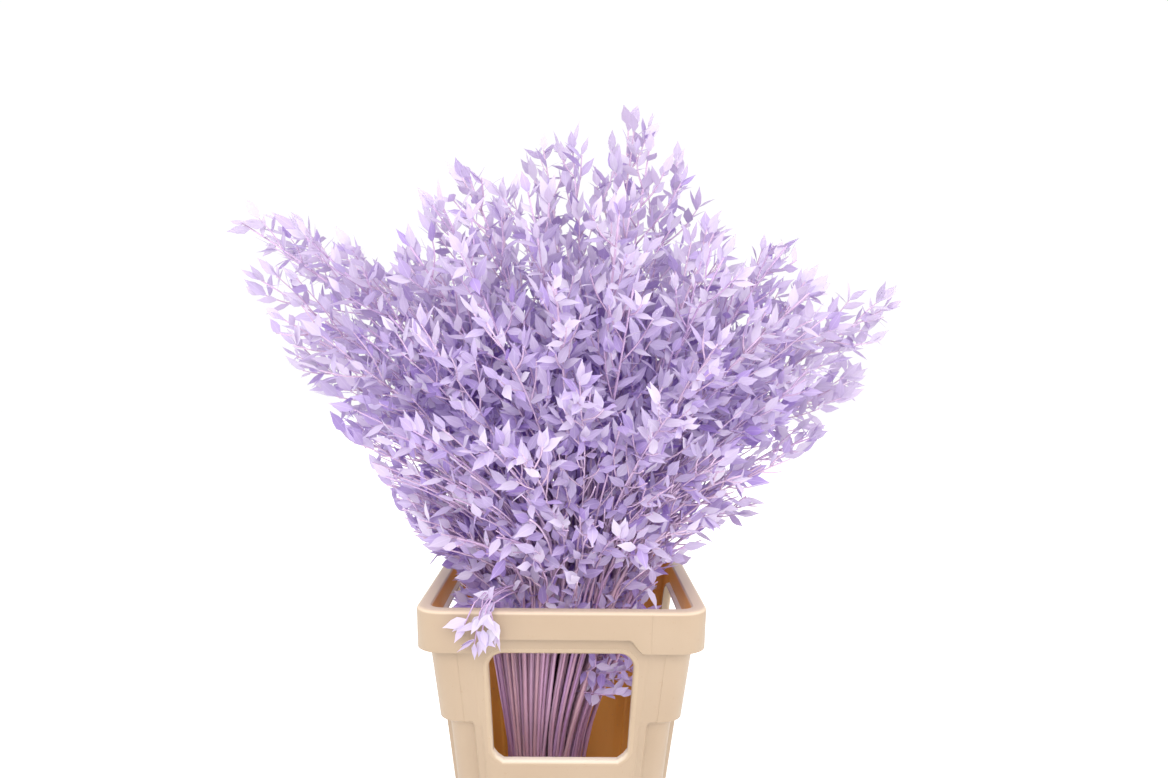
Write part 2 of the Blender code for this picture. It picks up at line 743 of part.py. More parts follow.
def main():
    clear_scene()
    beige = make_material("bucket_plastic", (0.72, 0.56, 0.39), 0.5)
    lilac = make_material("dyed_ruscus", (0.52, 0.38, 0.72), 0.65)
    bucket = make_bucket(beige)
    clearance = Clearance()
    clearance.add(None, [v.co.copy() for v in bucket.data.vertices],
                  [tuple(face.vertices) for face in bucket.data.polygons])
    stems = [
        [make_shoot(stem_path(stem), STEM_RADIUS, 3)] + [make_shoot(twig, TWIG_RADIUS, 1) for twig in stem["twigs"]]
        for stem in plan_stems()
    ]
    every = [((number, index), shoot) for number, shoots in enumerate(stems) for index, shoot in enumerate(shoots)]
    for owner, shoot in every:
        clearance.add(owner, *shoot_mesh(shoot))
    draw = random.Random(SEED + 4)
    for grow in (grow_end_leaf, grow_side_leaves):
        for owner, shoot in every:
            grow(draw, clearance, owner, shoot)
    for number, shoots in enumerate(stems):
        make_stem(number, shoots, lilac)


main()
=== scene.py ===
"""Looks of the dried ruscus bunch in its square flower bucket, in metres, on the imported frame."""
import math
import random

import bmesh
import bpy
import numpy as np
from mathutils import Euler, Matrix, Vector


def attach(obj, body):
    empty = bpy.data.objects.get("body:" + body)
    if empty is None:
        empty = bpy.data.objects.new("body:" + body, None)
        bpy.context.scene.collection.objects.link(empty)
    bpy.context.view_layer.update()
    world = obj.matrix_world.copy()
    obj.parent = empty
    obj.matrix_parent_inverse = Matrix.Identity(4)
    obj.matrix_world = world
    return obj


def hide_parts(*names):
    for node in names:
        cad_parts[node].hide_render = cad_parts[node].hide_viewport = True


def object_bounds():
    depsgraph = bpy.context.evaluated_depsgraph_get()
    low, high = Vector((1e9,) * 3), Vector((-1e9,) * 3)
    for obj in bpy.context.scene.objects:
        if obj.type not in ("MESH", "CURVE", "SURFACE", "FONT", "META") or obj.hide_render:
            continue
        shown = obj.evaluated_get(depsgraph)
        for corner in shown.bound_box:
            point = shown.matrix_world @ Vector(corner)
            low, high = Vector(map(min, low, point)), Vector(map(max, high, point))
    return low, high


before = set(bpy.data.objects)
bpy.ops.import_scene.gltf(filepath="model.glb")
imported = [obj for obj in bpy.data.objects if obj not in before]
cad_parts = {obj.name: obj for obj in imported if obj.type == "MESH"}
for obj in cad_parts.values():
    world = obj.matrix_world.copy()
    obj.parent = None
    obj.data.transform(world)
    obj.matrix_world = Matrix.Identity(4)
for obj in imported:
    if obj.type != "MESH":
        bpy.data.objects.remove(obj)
cad_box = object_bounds()

# Camera, from the photograph: lens for the sensor's width in millimetres, and turns in degrees
CAMERA_AT = (0.010, -0.986, 0.540)
CAMERA_LENS = 26.5
SENSOR_WIDTH = 36.0
CAMERA_PITCH = -1.40
CAMERA_YAW = -0.67
CAMERA_ROLL = 0.60
CAMERA_NEAR = 0.01

# Lights: place, what each one faces, size and power
LIGHTS = (
    ("key", (-0.15, -1.45, 1.15), (0, 0, 0.42), 0.9, 16),
    ("fill", (1.6, -1.4, 1.2), (0, 0, 0.2), 1.6, 12),
    ("above", (-0.6, -1.3, 2.6), (0, 0, 0.3), 1.4, 4),
    ("left_side", (-1.7, -0.5, 1.0), (0, 0, 0.4), 1.2, 12),
    ("right_side", (1.7, -0.4, 1.0), (0, 0, 0.3), 1.2, 11),
)
SKY_STRENGTH = 1.02
GROUND = ((-6, -6, 0), (6, -6, 0), (6, 8, 0), (-6, 8, 0))
GROUND_COLOUR = (0.92, 0.92, 0.92)
GROUND_GLOW = 0.35

# Bucket, with the part's own sizes
BUCKET_HEIGHT = 0.300
RIM_HALF = 0.1468
RIM_FACE = 0.0135
RIM_ROUND = 0.0040
RIM_STEPS = 4
RIM_CORNER = 0.029
SKIRT_LOW = 0.258
SKIRT_RISE = 0.0138
SKIRT_THICK = 0.003
SKIRT_TAPER = 0.0012
FLANGE_THICK = 0.004
BODY_HALF_LOW = 0.0986
BODY_SLOPE = 0.127
BODY_CORNER = 0.021
LEDGE_LOW = 0.176
LEDGE_HIGH = 0.182
LEDGE_STEP = 0.0062
SHOULDER = 0.0024
FOOT_STEP = 0.0026
WALL = 0.003
FLOOR = 0.0035
CORNER_SEGMENTS = 10
RISE_STEPS = 6
PANEL_PROUD = 0.0017
SEAM_DEPTH = 0.0004

# How much tighter corners are outside and inside, wider at the top, and the ledge higher inside
FOOT_TIGHTER = (0.004, 0.007)
LEDGE_TIGHTER = (0.003, 0.006)
TOP_WIDER = 0.001
LEDGE_INSIDE = 0.002

# The rim's inner edge, in two rings: drop below the top and step in
INNER_EDGE = ((0.0012, 0.0011), (0.0030, 0.0015))

# Stations along a side, as shares of its half width
RISE_END = 0.462
RISE_START = 0.565
PANEL_EDGE = (0.668, 0.652)
SEAM_AT = 0.611
CORNER_SEAM_AT = 0.785
SEAM_HALF = 0.0035
STEP_IN = 0.72
STEP_OUT = 0.74

# Width of the rounded edges, and the angles from which edges are rounded and shown sharp
EDGE_ROUND = 0.0007
ROUND_ANGLE = math.radians(28)
SHARP_ANGLE = math.radians(32)

# Windows, one in each side. The cutter reaches past the wall on both sides
WINDOW_HALF_TOP = 0.0736
WINDOW_HALF_LOW = 0.0691
WINDOW_ROUND = 0.015
WINDOW_CHAMFER = 0.011
CHAMFER_MIDDLE = 0.42
WINDOW_SEGMENTS = 8
FRONT_WINDOW = (0.138, 0.254)
SIDE_WINDOW = (0.138, 0.275)
CUTTER_IN = 0.02
CUTTER_OUT = 0.0025

# Section of a window's lip: out from the opening's edge, and proud of the wall's slope
LIP = (
    (0.0020, -0.0080), (0.0006, -0.0086), (-0.0006, -0.0080), (-0.0008, -0.0022), (-0.0004, -0.0006),
    (0.0006, 0.0008), (0.0018, 0.0016), (0.0032, 0.0020), (0.0046, 0.0018), (0.0054, -0.0004),
    (0.0036, -0.0040),
)
UNDER_LIP = 0.0026

# Bunch: the same rules and seeds as the part's, so each stem and twig runs where its solid does
EYE = Vector(CAMERA_AT)
CROWN_ROOT = Vector((-0.008, 0.0, 0.250))
OUTLINE = (
    (-66, 0.150), (-58, 0.205), (-54, 0.235), (-49.5, 0.300), (-48, 0.390), (-45, 0.460), (-42, 0.545),
    (-38.7, 0.600), (-35, 0.588), (-31, 0.525), (-25.5, 0.455), (-20, 0.500), (-16, 0.520), (-12, 0.548),
    (-7, 0.545), (-2.5, 0.572), (1, 0.580), (4.5, 0.532), (7.8, 0.598), (11, 0.590), (15, 0.562),
    (21, 0.510), (26, 0.462), (30, 0.531), (36, 0.508), (40, 0.505), (45.9, 0.544), (50.4, 0.470),
    (53.8, 0.410), (55.5, 0.350), (60.6, 0.285), (66, 0.200),
)
OUTER_STEMS = (
    (-38.7, 0.00, 1.0), (-35.0, 0.07, 0.98), (-41.5, -0.09, 0.97), (-45.0, 0.05, 0.97),
    (-48.5, -0.05, 0.96), (-52.0, 0.03, 0.96), (-30.5, -0.03, 0.97), (-16.0, 0.05, 0.98),
    (-11.5, -0.08, 0.97), (-2.0, 0.10, 0.98), (1.5, -0.02, 0.99), (7.8, 0.03, 1.0), (10.5, -0.07, 0.97),
    (15.0, 0.08, 0.98), (21.0, -0.03, 0.98), (30.5, 0.02, 0.98), (36.0, 0.10, 0.97), (45.9, 0.00, 1.0),
    (41.0, -0.10, 0.96), (50.4, 0.05, 0.98), (54.0, -0.05, 0.96), (59.0, 0.03, 0.95),
)
PAST_OUTLINE = 2.0
TIP_LEAF_SHARE = 0.8
STEM_COUNT = 42
SPIRAL_COUNT = 90
SPIRAL_APART = 0.155
SPIRAL_REACH = (0.86, 0.98)
GOLDEN_ANGLE = math.radians(137.508)
WIDEST = math.radians(60)
DOME = ((0, 0.560), (20, 0.555), (38, 0.545), (47, 0.470), (54, 0.330), (62, 0.210))
DOME_LIMIT = 0.96
DOME_SHRINK = 0.97
DEPTH_SHARE = 0.90
TRIES = 40
PLACE_STEP = 0.02
NECK = Vector((0.000, 0.0, 0.300))
NECK_SPREAD = (0.098, 0.096)
WAIST = Vector((-0.018, 0.0, 0.130))
WAIST_SPREAD = (0.048, 0.052)
FOOT = Vector((-0.018, 0.0, FLOOR + 0.0003))
FOOT_SPREAD = (0.036, 0.042)
STEM_BEND = 0.45
STEM_APART = 0.0075
STEM_NODES = (0.40, 0.71, 1.0)
LEAF_LENGTH = 0.029
SEED = 417

# The part's side twigs. Their lengths are for a stem that reaches TWIG_STEM above the rim
TWIG_SHARES = (0.24, 0.50, 0.80)
LOW_TWIG_SHARE = 0.08
TWIG_LENGTH = (0.150, 0.130, 0.095)
TWIG_STEM = 0.5
TWIG_NODE = 0.55
TWIG_ANGLE = math.radians(36)
TWIG_STRAIGHTER = 0.7
TWIG_APART = 0.0050
TWIG_TRIES = 16
TWIG_LIMIT = 0.985
TWIG_ABOVE_RIM = 0.05
TWIG_REACH = (0.85, 1.1)
TWIG_REACH_LOSS = 0.03

# Turns of a twig round its stem, in radians: from stem to stem, from try to try, and at random
TURN_BY_STEM = 2.4
TURN_BY_TRY = 0.9
TURN_DRAW = 0.4
RIM_SHOOT = ((-0.060, -0.104, 0.296), (-0.066, -0.150, 0.318), (-0.078, -0.158, 0.276))
WINDOW_SHOOT = ((0.040, -0.066, 0.190), (0.064, -0.080, 0.218), (0.084, -0.086, 0.232))

# Shoots that only this script adds, in the front window and over the rim, in millimetres
MORE_SHOOTS = (
    ((20, -62, 195), (36, -76, 222), (30, -80, 250)),
    ((44, -60, 180), (60, -74, 208), (74, -80, 212)),
    ((46, -60, 205), (60, -72, 240), (76, -78, 262)),
    ((34, -66, 170), (46, -78, 192), (60, -84, 196)),
    ((40, 30, 165), (58, 40, 190), (66, 48, 215)),
    ((45, 0, 190), (60, 12, 220), (58, 20, 250)),
    ((40, 70, 150), (56, 85, 170), (62, 90, 195)),
    ((38, 60, 172), (50, 74, 177), (62, 80, 170)),
    ((36, 20, 190), (50, 30, 198), (64, 34, 190)),
    ((-56, -100, 294), (-76, -142, 317), (-94, -157, 290)),
    ((-56, -100, 294), (-72, -140, 316), (-78, -157, 298)),
    ((-56, -100, 294), (-72, -150, 313), (-84, -157, 272)),
    ((-56, -100, 294), (-66, -152, 310), (-64, -157, 286)),
)

# Added leafy stems, on a finer spiral where it leaves room
MORE_SPIRAL = 400
MORE_APART = 0.115
MORE_SHARE = (0.70, 0.97)
MORE_SCATTER = 0.06

# Added bare stems, over the whole bunch and then in a sector at its front left
BARE_STEMS = 150
BARE_INSET = 0.97
BARE_SCATTER = 0.05
BARE_SHARE = (0.46, 0.74)
LEFT_STEMS = 40
LEFT_SECTOR = (math.radians(-178), math.radians(-95))
LEFT_OUT = (0.80, 1.0)
LEFT_SHARE = (0.55, 0.90)

# An added stem's foot: its place drawn in, and how far the stems cross on the way down
FOOT_SHARE = 0.9
CROSSING = 0.38

# Fine twigs, added on outer and inner leafy stems: where they start, their gap, limit at the outline
OUTER_SPOT = 0.72
OUTER_TWIGS = (0.30, 0.0165, 0.985)
INNER_TWIGS = (0.20, 0.029, 0.965)
FINE_END = 0.95
FINE_TRIES = 7
FINE_ANGLE = (0.75, 1.25)
FINE_REACH = (0.75, 1.15)
FINE_LENGTH = (0.27, 0.17)
FINE_LOSS = 0.06
FINE_STRAIGHTER = 0.6
FINE_ABOVE_RIM = 0.030

# One short twig near the rim on each stem: its place on bare and leafy stems, its length and lean
BARE_TWIG_AT = (-0.45, -0.02)
LEAFY_TWIG_AT = (-0.20, 0.13)
LOW_TWIG_LENGTH = (0.045, 0.100)
LOW_TWIG_OUTWARD = 0.6
LOW_TWIG_LEAN = (0.35, 0.75)
LOW_TWIG_INSIDE = 0.115
LOW_TWIG_ABOVE_RIM = 0.02

# Wood: radii from low to high, a stem's girth as a share of them, nodes, small bends and sides
STEM_RADIUS = (0.0026, 0.0010)
TWIG_RADIUS = (0.0009775, 0.000675)
OWN_GIRTH = (0.80, 1.00)
MORE_GIRTH = (0.52, 0.86)
NODE_SWELL = 1.22
WANDER = 0.0016
WANDER_KNOTS = 6
STEM_SIDES = 6
TWIG_SIDES = 4
LOW_POINTS = 8
UPPER_POINTS = 17
TWIG_POINTS = 3
TWIG_PALE = 0.60

# Where leaves start on a line, as a share of its length, and the step between them
STEM_LEAVES = (0.36, 0.014)
TWIG_LEAVES = (0.18, 0.0092)
HELD_LEAVES = (0.25, 0.0068)
LEAF_GAPS = (0.75, 1.3)

# How far leaves open from their twig, in degrees: along it, at its tip and just below the tip
LEAF_OPENING = (28, 66)
TIP_OPENING = (2, 14)
BELOW_TIP_OPENING = (22, 44)
BELOW_TIP = 0.004

# Leaf: length and width, the spread of its size, and its shrink towards the front by depth
LEAF_SIZE = (0.0282, 0.0120)
LEAF_SPREAD = (0.74, 1.10)
WIDTH_SPREAD = (0.85, 1.12)
FRONT_LEAF_SHRINK = 0.60
FRONT_LEAF_DEPTHS = (-0.35, 0.25)
HELD_LEAF = 0.88
LEAF_FOLD = (0, 6)
LEAF_DROOP = (-0.05, 0.18)
LEAF_TWIST = (-0.35, 0.35)
LEAF_THIN = 0.00022
LEAF_STRAY = 0.16
LEAF_MESS = 0.36
LEAF_TRIES = 5
LEAF_TURN = 1.1
BLADE_EDGE = math.radians(110)

# Between the rim and this height this share of the leaves is left out
THIN_BELOW = 0.455
THIN_SHARE = 0.70

# How far out leaves may reach, as a share of the outline, and how clear of the bucket they stay
OWN_LEAF_LIMIT = 1.03
MORE_LEAF_LIMIT = 0.975
LIMIT_ABOVE_RIM = 0.03
RIM_CLEAR = 0.004
WALL_CLEAR = 0.006

# Painted shade: leaves further in than this share of the crown are painted a darker violet, by this much
# for each share, in place of the shade deep in the crown
PAINTED_SHADE_FROM = 0.93
PAINTED_SHADE_RISE = 1.1
PAINTED_SHADE_SPREAD = 0.26

# A leaf's sections, as shares of its length and half width, and its edge points that are tested
LEAF_SECTIONS = ((0.09, 0.36), (0.33, 0.98), (0.60, 0.80), (0.83, 0.28))
LEAF_EDGES = (9, 11)

# Order of the materials on the stems and on the bucket
LEAF_SLOT, WOOD_SLOT = 0, 1
OUTSIDE_SLOT, SHADED_INSIDE_SLOT, LIT_LIP_SLOT = 0, 1, 2

# Leaf colours, its painted shade deep in the crown, its rib and veins, and its painted glow
LEAF_TONES = ((0.650, 0.604, 0.676), (0.840, 0.818, 0.814))
LEAF_ROSE = (0.73, 0.60, 0.74)
# Painted shade: the darker violet of leaves deep in the crown
LEAF_PAINTED_SHADE = (0.43, 0.29, 0.66)
VEIN_COLOUR = (0.50, 0.39, 0.68)
RIB_COLOUR = (0.84, 0.78, 0.88)
THROUGH_COLOUR = (0.58, 0.42, 0.80)
# Painted glow: the colour of the leaves' faint emission, which lifts their shade
PAINTED_GLOW_COLOUR = (0.42, 0.15, 1.0)
RIB_HALF = 0.03
VEIN_WAVES = 88.0

# Wood colours
DARK_WOOD = ((0.235, 0.090, 0.300), (0.450, 0.270, 0.415))
PALE_WOOD = ((0.50, 0.36, 0.58), (0.66, 0.53, 0.70))
TAN_WOOD = (0.53, 0.30, 0.28)
WOOD_STREAK = (0.57, 0.41, 0.56)

# The bucket's plastics, in the order of its materials: two colours, and how much paler they are painted
# where they face up, as painted top light
PLASTICS = (
    ("bucket_beige", ((0.305, 0.219, 0.144), (0.365, 0.278, 0.198)), 0.0),
    # The inside's orange-brown copy of the plastic is painted shade and bounced light
    ("bucket_inside_painted_shade", ((0.665, 0.285, 0.038), (0.740, 0.345, 0.064)), 0.0),
    # The lips' plastic is a paler copy of the beige, painted light, and is painted paler still where it
    # faces up
    ("bucket_lip_painted_light", ((0.330, 0.238, 0.156), (0.390, 0.298, 0.210)), 0.75),
)
SPECK_COLOUR = (0.30, 0.20, 0.12)
# Painted highlight colour along the rim's top edge
RIM_HIGHLIGHT_COLOUR = (0.72, 0.58, 0.44)
# Painted top light: the colour that faces that face up are painted towards
PAINTED_TOP_LIGHT_COLOUR = (0.86, 0.76, 0.64)

# Painted highlight: heights between which the rim's top edge is painted paler, and how much
PAINTED_RIM_HIGHLIGHT = {"From Min": 0.2962, "From Max": 0.2985, "To Min": 0.0, "To Max": 0.55}


def read_table(table, at):
    """A table's second column, read between the rows of its first."""
    return float(np.interp(at, [row[0] for row in table], [row[1] for row in table]))


def unit(rows):
    """Rows scaled to length one."""
    return rows / np.maximum(np.linalg.norm(rows, axis=-1, keepdims=True), 1e-12)


def body_half(height):
    """Half width of the bucket's body at a height."""
    return BODY_HALF_LOW + BODY_SLOPE * height


def lean_out(along, out, angle):
    """The direction that leans from along towards out by an angle."""
    return along * math.cos(angle) + out * math.sin(angle)


def sideways(along):
    """Two directions square to along."""
    side = along.cross(Vector((0.0, 0.0, 1.0)))
    side = side.normalized() if side.length > 0.05 else Vector((1.0, 0.0, 0.0))
    return side, along.cross(side)


def scatter(draw, size):
    """A random shift of a place in the bunch, by up to size each way."""
    return Vector((draw.uniform(-size, size), draw.uniform(-size, size)))


def outline_share(point):
    """How far out a point shows on the middle plane, as a share of the outline's reach at its angle."""
    scale = EYE.y / (EYE.y - point.y)
    across = EYE.x + (point.x - EYE.x) * scale - CROWN_ROOT.x
    up = EYE.z + (point.z - EYE.z) * scale - CROWN_ROOT.z
    angle = math.degrees(math.atan2(across, up))
    if abs(angle) > abs(OUTLINE[0][0]):
        return PAST_OUTLINE
    return math.hypot(across, up) / read_table(OUTLINE, angle)


def crown_share(point):
    """How far out of the crown a point is: 0 at its root and 1 on its dome."""
    x, y, z = point[0] - CROWN_ROOT.x, point[1] / DEPTH_SHARE, point[2] - CROWN_ROOT.z
    lean = math.degrees(math.atan2(math.hypot(x, y), max(z, 0.0)))
    return math.sqrt(x * x + y * y + z * z) / read_table(DOME, lean)


def outline_tip(angle, depth, share):
    """The tip of a stem that shows on the outline, from its angle and depth."""
    reach = share * read_table(OUTLINE, angle) - TIP_LEAF_SHARE * LEAF_LENGTH
    across = CROWN_ROOT.x + reach * math.sin(math.radians(angle))
    up = CROWN_ROOT.z + reach * math.cos(math.radians(angle))
    scale = (EYE.y - depth) / EYE.y
    return Vector((EYE.x + (across - EYE.x) * scale, depth, EYE.z + (up - EYE.z) * scale))


def dome_tip(spot, share):
    """The tip of a stem whose place in the bunch is spot, a point of the unit disc."""
    lean = WIDEST * spot.length
    heading = spot.normalized() if spot.length > 0 else Vector((0.0, 0.0))
    for _ in range(TRIES):
        reach = share * read_table(DOME, math.degrees(lean))
        tip = CROWN_ROOT + reach * Vector((
            math.sin(lean) * heading.x, math.sin(lean) * heading.y * DEPTH_SHARE, math.cos(lean),
        ))
        if outline_share(tip) < DOME_LIMIT:
            return tip
        share *= DOME_SHRINK
    return tip


def spot_of(tip):
    """The place in the bunch, on the unit disc, of the stem with this tip."""
    out = Vector((tip.x - CROWN_ROOT.x, tip.y / DEPTH_SHARE))
    lean = math.atan2(out.length, tip.z - CROWN_ROOT.z)
    return out.normalized() * min(1.0, lean / WIDEST)


def spiral_spot(k, count):
    """Place k of count places spread evenly over the unit disc."""
    out = math.sqrt((k + 0.5) / count)
    return Vector((out * math.cos(k * GOLDEN_ANGLE), out * math.sin(k * GOLDEN_ANGLE)))


def all_tips(draw):
    """The outline's stems first, then the rest on a spiral, where it leaves room."""
    tips = [outline_tip(*row) for row in OUTER_STEMS]
    spots = [spot_of(tip) for tip in tips]
    for k in range(SPIRAL_COUNT):
        spot = spiral_spot(k, SPIRAL_COUNT)
        share = draw.uniform(*SPIRAL_REACH)
        if len(tips) < STEM_COUNT and min((spot - other).length for other in spots) > SPIRAL_APART:
            tips.append(dome_tip(spot, share))
            spots.append(spot)
    return tips, spots


def stem_point(stem, share):
    """A point of the stem's upper part: 0 is at the bucket's rim and 1 is the tip."""
    waist, neck, tip = stem["waist"], stem["neck"], stem["tip"]
    rise = (neck - waist).normalized()
    bend = neck + rise * STEM_BEND * (tip - neck).length
    return neck * (1 - share) ** 2 + bend * 2 * share * (1 - share) + tip * share ** 2


def stem_run(stem, share):
    """A point of the straight pieces between a stem's nodes, and their direction there."""
    shares = (0.0,) + STEM_NODES
    for low, high in zip(shares, shares[1:]):
        if share <= high:
            a, b = stem_point(stem, low), stem_point(stem, high)
            return a.lerp(b, (share - low) / (high - low)), (b - a).normalized()
    raise ValueError("share past the tip")


def stem_between(place, tip, spot, foot=None):
    """A stem through its place in the neck and the waist. foot is its place on the floor."""

    def spread(middle, at, widths):
        return middle + Vector((at.x * widths[0], at.y * widths[1], 0.0))

    return {
        "foot": spread(FOOT, place if foot is None else foot, FOOT_SPREAD),
        "waist": spread(WAIST, place, WAIST_SPREAD),
        "neck": spread(NECK, place, NECK_SPREAD),
        "tip": tip,
        "spot": spot,
        "bare": False,
        "twigs": [],
    }


def chain(points, apart=0.004):
    """Close points along straight pieces."""
    made = []
    for a, b in zip(points, points[1:]):
        count = max(2, int((b - a).length / apart) + 1)
        made += [a.lerp(b, k / count) for k in range(count)]
    made.append(points[-1])
    return np.array(made)


def stem_chain(stem):
    """Close points along a stem, from its foot to its tip."""
    upper = [stem_point(stem, share) for share in STEM_NODES]
    return chain([stem["foot"], stem["waist"], stem["neck"]] + upper)


def nearest(chain_a, chain_b):
    """The smallest distance between the points of two chains."""
    apart = chain_a[:, None, :] - chain_b[None, :, :]
    return math.sqrt(float((apart ** 2).sum(axis=2).min()))


def shoot_from(lines, shoot):
    """Which line passes nearest to a shoot's start, and the shoot from there on."""
    first = np.array([shoot[0]])
    owner = min(range(len(lines)), key=lambda i: nearest(lines[i], first))
    line = lines[owner]
    start = Vector(line[int(np.argmin(((line - first) ** 2).sum(axis=1)))])
    return owner, [start] + [Vector(point) for point in shoot[1:]]


def plan_stems():
    """Where the part's stems and side twigs run, by its own rule and draws."""
    draw = random.Random(SEED)
    stems, chains = [], []
    for number, (tip, spot) in enumerate(zip(*all_tips(draw))):
        best = None
        for attempt in range(TRIES):
            shift = scatter(draw, 1) * PLACE_STEP * attempt ** 0.5
            stem = stem_between(spot + shift, tip, spot)
            line = stem_chain(stem)
            room = min((nearest(line, other) for _, other in chains), default=1.0)
            if best is None or room > best[0]:
                best = (room, stem, line)
            if room > STEM_APART:
                break
        stems.append(best[1])
        chains.append((number, best[2]))
    lines = [line for _, line in chains]
    for shoot in (RIM_SHOOT, WINDOW_SHOOT):
        owner, twig = shoot_from(lines, shoot)
        stems[owner]["twigs"].append(twig)
        chains.append((owner, chain(twig)))
    for number, stem in enumerate(stems):
        for k in range(len(TWIG_SHARES)):
            twig = plan_twig(draw, stem, number, k, chains)
            if twig is not None:
                stem["twigs"].append(twig)
                chains.append((number, chain(twig)))
    return stems


def plan_twig(draw, stem, number, k, chains):
    """Side twig k of a stem, turned until it is clear of the others, or None."""
    low = k == 0 and number % 2
    start, along = stem_run(stem, LOW_TWIG_SHARE if low else TWIG_SHARES[k])
    side, other_side = sideways(along)
    length = TWIG_LENGTH[k] * (stem["tip"] - stem["neck"]).length / TWIG_STEM
    others = [line for owner, line in chains if owner != number]
    own = [line for owner, line in chains if owner == number][1:]
    for attempt in range(TWIG_TRIES):
        turn = number * TURN_BY_STEM + k * GOLDEN_ANGLE + attempt * TURN_BY_TRY
        out = lean_out(side, other_side, turn + draw.uniform(-TURN_DRAW, TURN_DRAW))
        reach = length * draw.uniform(*TWIG_REACH) * (1 - TWIG_REACH_LOSS * attempt)
        middle = start + lean_out(along, out, TWIG_ANGLE) * reach * TWIG_NODE
        second = lean_out(along, out, TWIG_STRAIGHTER * TWIG_ANGLE)
        twig = [start, middle, middle + second * reach * (1 - TWIG_NODE)]
        if outline_share(twig[2]) > TWIG_LIMIT or twig[2].z < BUCKET_HEIGHT + TWIG_ABOVE_RIM:
            continue
        line = chain(twig)
        clear = all(nearest(line, other) > TWIG_APART for other in others)
        if clear and all(nearest(line[3:], other) > TWIG_APART for other in own):
            return twig
    return None


def more_shoots(stems):
    """Adds the shoots in the front window and over the rim."""
    lines = [stem_chain(stem) for stem in stems]
    for shoot in MORE_SHOOTS:
        owner, twig = shoot_from(lines, [[value / 1000 for value in point] for point in shoot])
        stems[owner]["twigs"].append(twig)


def more_stems(stems):
    """Groups of stems: each of the part's own, and the added ones that stand beside it."""
    draw = random.Random(SEED + 2)
    groups = [[stem] for stem in stems]
    spots = [stem["spot"] for stem in stems]

    def add(place, tip, spot, foot, bare):
        owner = min(range(len(stems)), key=lambda i: (stems[i]["spot"] - spot).length)
        stem = stem_between(place, tip, spot, foot)
        stem["bare"] = bare
        groups[owner].append(stem)

    for k in range(MORE_SPIRAL):
        spot = spiral_spot(k, MORE_SPIRAL)
        if min((spot - other).length for other in spots) < MORE_APART:
            continue
        tip = dome_tip(spot, draw.uniform(*MORE_SHARE))
        place = spot + scatter(draw, MORE_SCATTER)
        add(place, tip, spot, place * FOOT_SHARE + scatter(draw, CROSSING), bare=False)
        spots.append(spot)
    for k in range(BARE_STEMS):
        spot = spiral_spot(k, BARE_STEMS) * BARE_INSET + scatter(draw, BARE_SCATTER)
        foot = spot * FOOT_SHARE + scatter(draw, CROSSING)
        add(spot, dome_tip(spot, draw.uniform(*BARE_SHARE)), spot, foot, bare=True)
    for _ in range(LEFT_STEMS):
        heading, out = draw.uniform(*LEFT_SECTOR), draw.uniform(*LEFT_OUT)
        spot = Vector((out * math.cos(heading), out * math.sin(heading)))
        add(spot, dome_tip(spot, draw.uniform(*LEFT_SHARE)), spot, spot * FOOT_SHARE, bare=True)
    return groups


def fine_twigs(draw, stem):
    """Side twigs between the part's own ones, shorter towards the tip."""
    full = (stem["tip"] - stem["neck"]).length
    first, gap, limit = OUTER_TWIGS if stem["spot"].length > OUTER_SPOT else INNER_TWIGS
    count = int(full / gap)
    shares = [first + (FINE_END - first) * (k + draw.uniform(0.2, 0.8)) / count for k in range(count)]
    for k, share in enumerate(shares):
        here, ahead = stem_point(stem, share), stem_point(stem, min(1.0, share + 0.03))
        along = (ahead - here).normalized()
        side, other_side = sideways(along)
        length = full * (FINE_LENGTH[0] - FINE_LENGTH[1] * share)
        for attempt in range(FINE_TRIES):
            turn = k * GOLDEN_ANGLE + draw.uniform(0, 1.2) + attempt
            out = lean_out(side, other_side, turn)
            angle = TWIG_ANGLE * draw.uniform(*FINE_ANGLE)
            reach = length * draw.uniform(*FINE_REACH) * (1 - FINE_LOSS * attempt)
            middle = here + lean_out(along, out, angle) * reach * 0.5
            end = middle + lean_out(along, out, FINE_STRAIGHTER * angle) * reach * 0.5
            if outline_share(end) < limit and end.z > BUCKET_HEIGHT + FINE_ABOVE_RIM:
                stem["twigs"].append([here, middle, end])
                break


def low_twig(draw, stem, between):
    """A short twig near the rim, which fills the bunch's foot with leaves."""
    waist, neck = stem["waist"], stem["neck"]
    along = (neck - waist).normalized()
    at = draw.uniform(*between)
    here = neck + (neck - waist) * at if at < 0 else stem_point(stem, at)
    turn = draw.uniform(0, 2 * math.pi)
    outward = Vector((neck.x, neck.y, 0.0)).normalized()
    out = Vector((math.cos(turn), math.sin(turn), 0.0)) + LOW_TWIG_OUTWARD * outward
    reach = draw.uniform(*LOW_TWIG_LENGTH)
    middle = here + (along + LOW_TWIG_LEAN[0] * out).normalized() * reach * 0.5
    end = middle + (along + LOW_TWIG_LEAN[1] * out).normalized() * reach * 0.5
    if max(abs(end.x), abs(end.y)) < LOW_TWIG_INSIDE or end.z > BUCKET_HEIGHT + LOW_TWIG_ABOVE_RIM:
        stem["twigs"].append([here, middle, end])


def put(name, data):
    """Puts an object with this data into the scene."""
    thing = bpy.data.objects.new(name, data)
    bpy.context.scene.collection.objects.link(thing)
    return thing


def smooth_line(points, count):
    """Evenly many points on a smooth curve through a few points."""
    p = [np.array(point) for point in points]
    p = [2 * p[0] - p[1]] + p + [2 * p[-1] - p[-2]]
    made = []
    for i in range(1, len(p) - 2):
        for t in np.linspace(0, 1, count, endpoint=False):
            made.append(0.5 * (2 * p[i] + (p[i + 1] - p[i - 1]) * t
                               + (2 * p[i - 1] - 5 * p[i] + 4 * p[i + 1] - p[i + 2]) * t ** 2
                               + (3 * p[i] - p[i - 1] - 3 * p[i + 1] + p[i + 2]) * t ** 3))
    made.append(p[-2])
    return np.array(made)


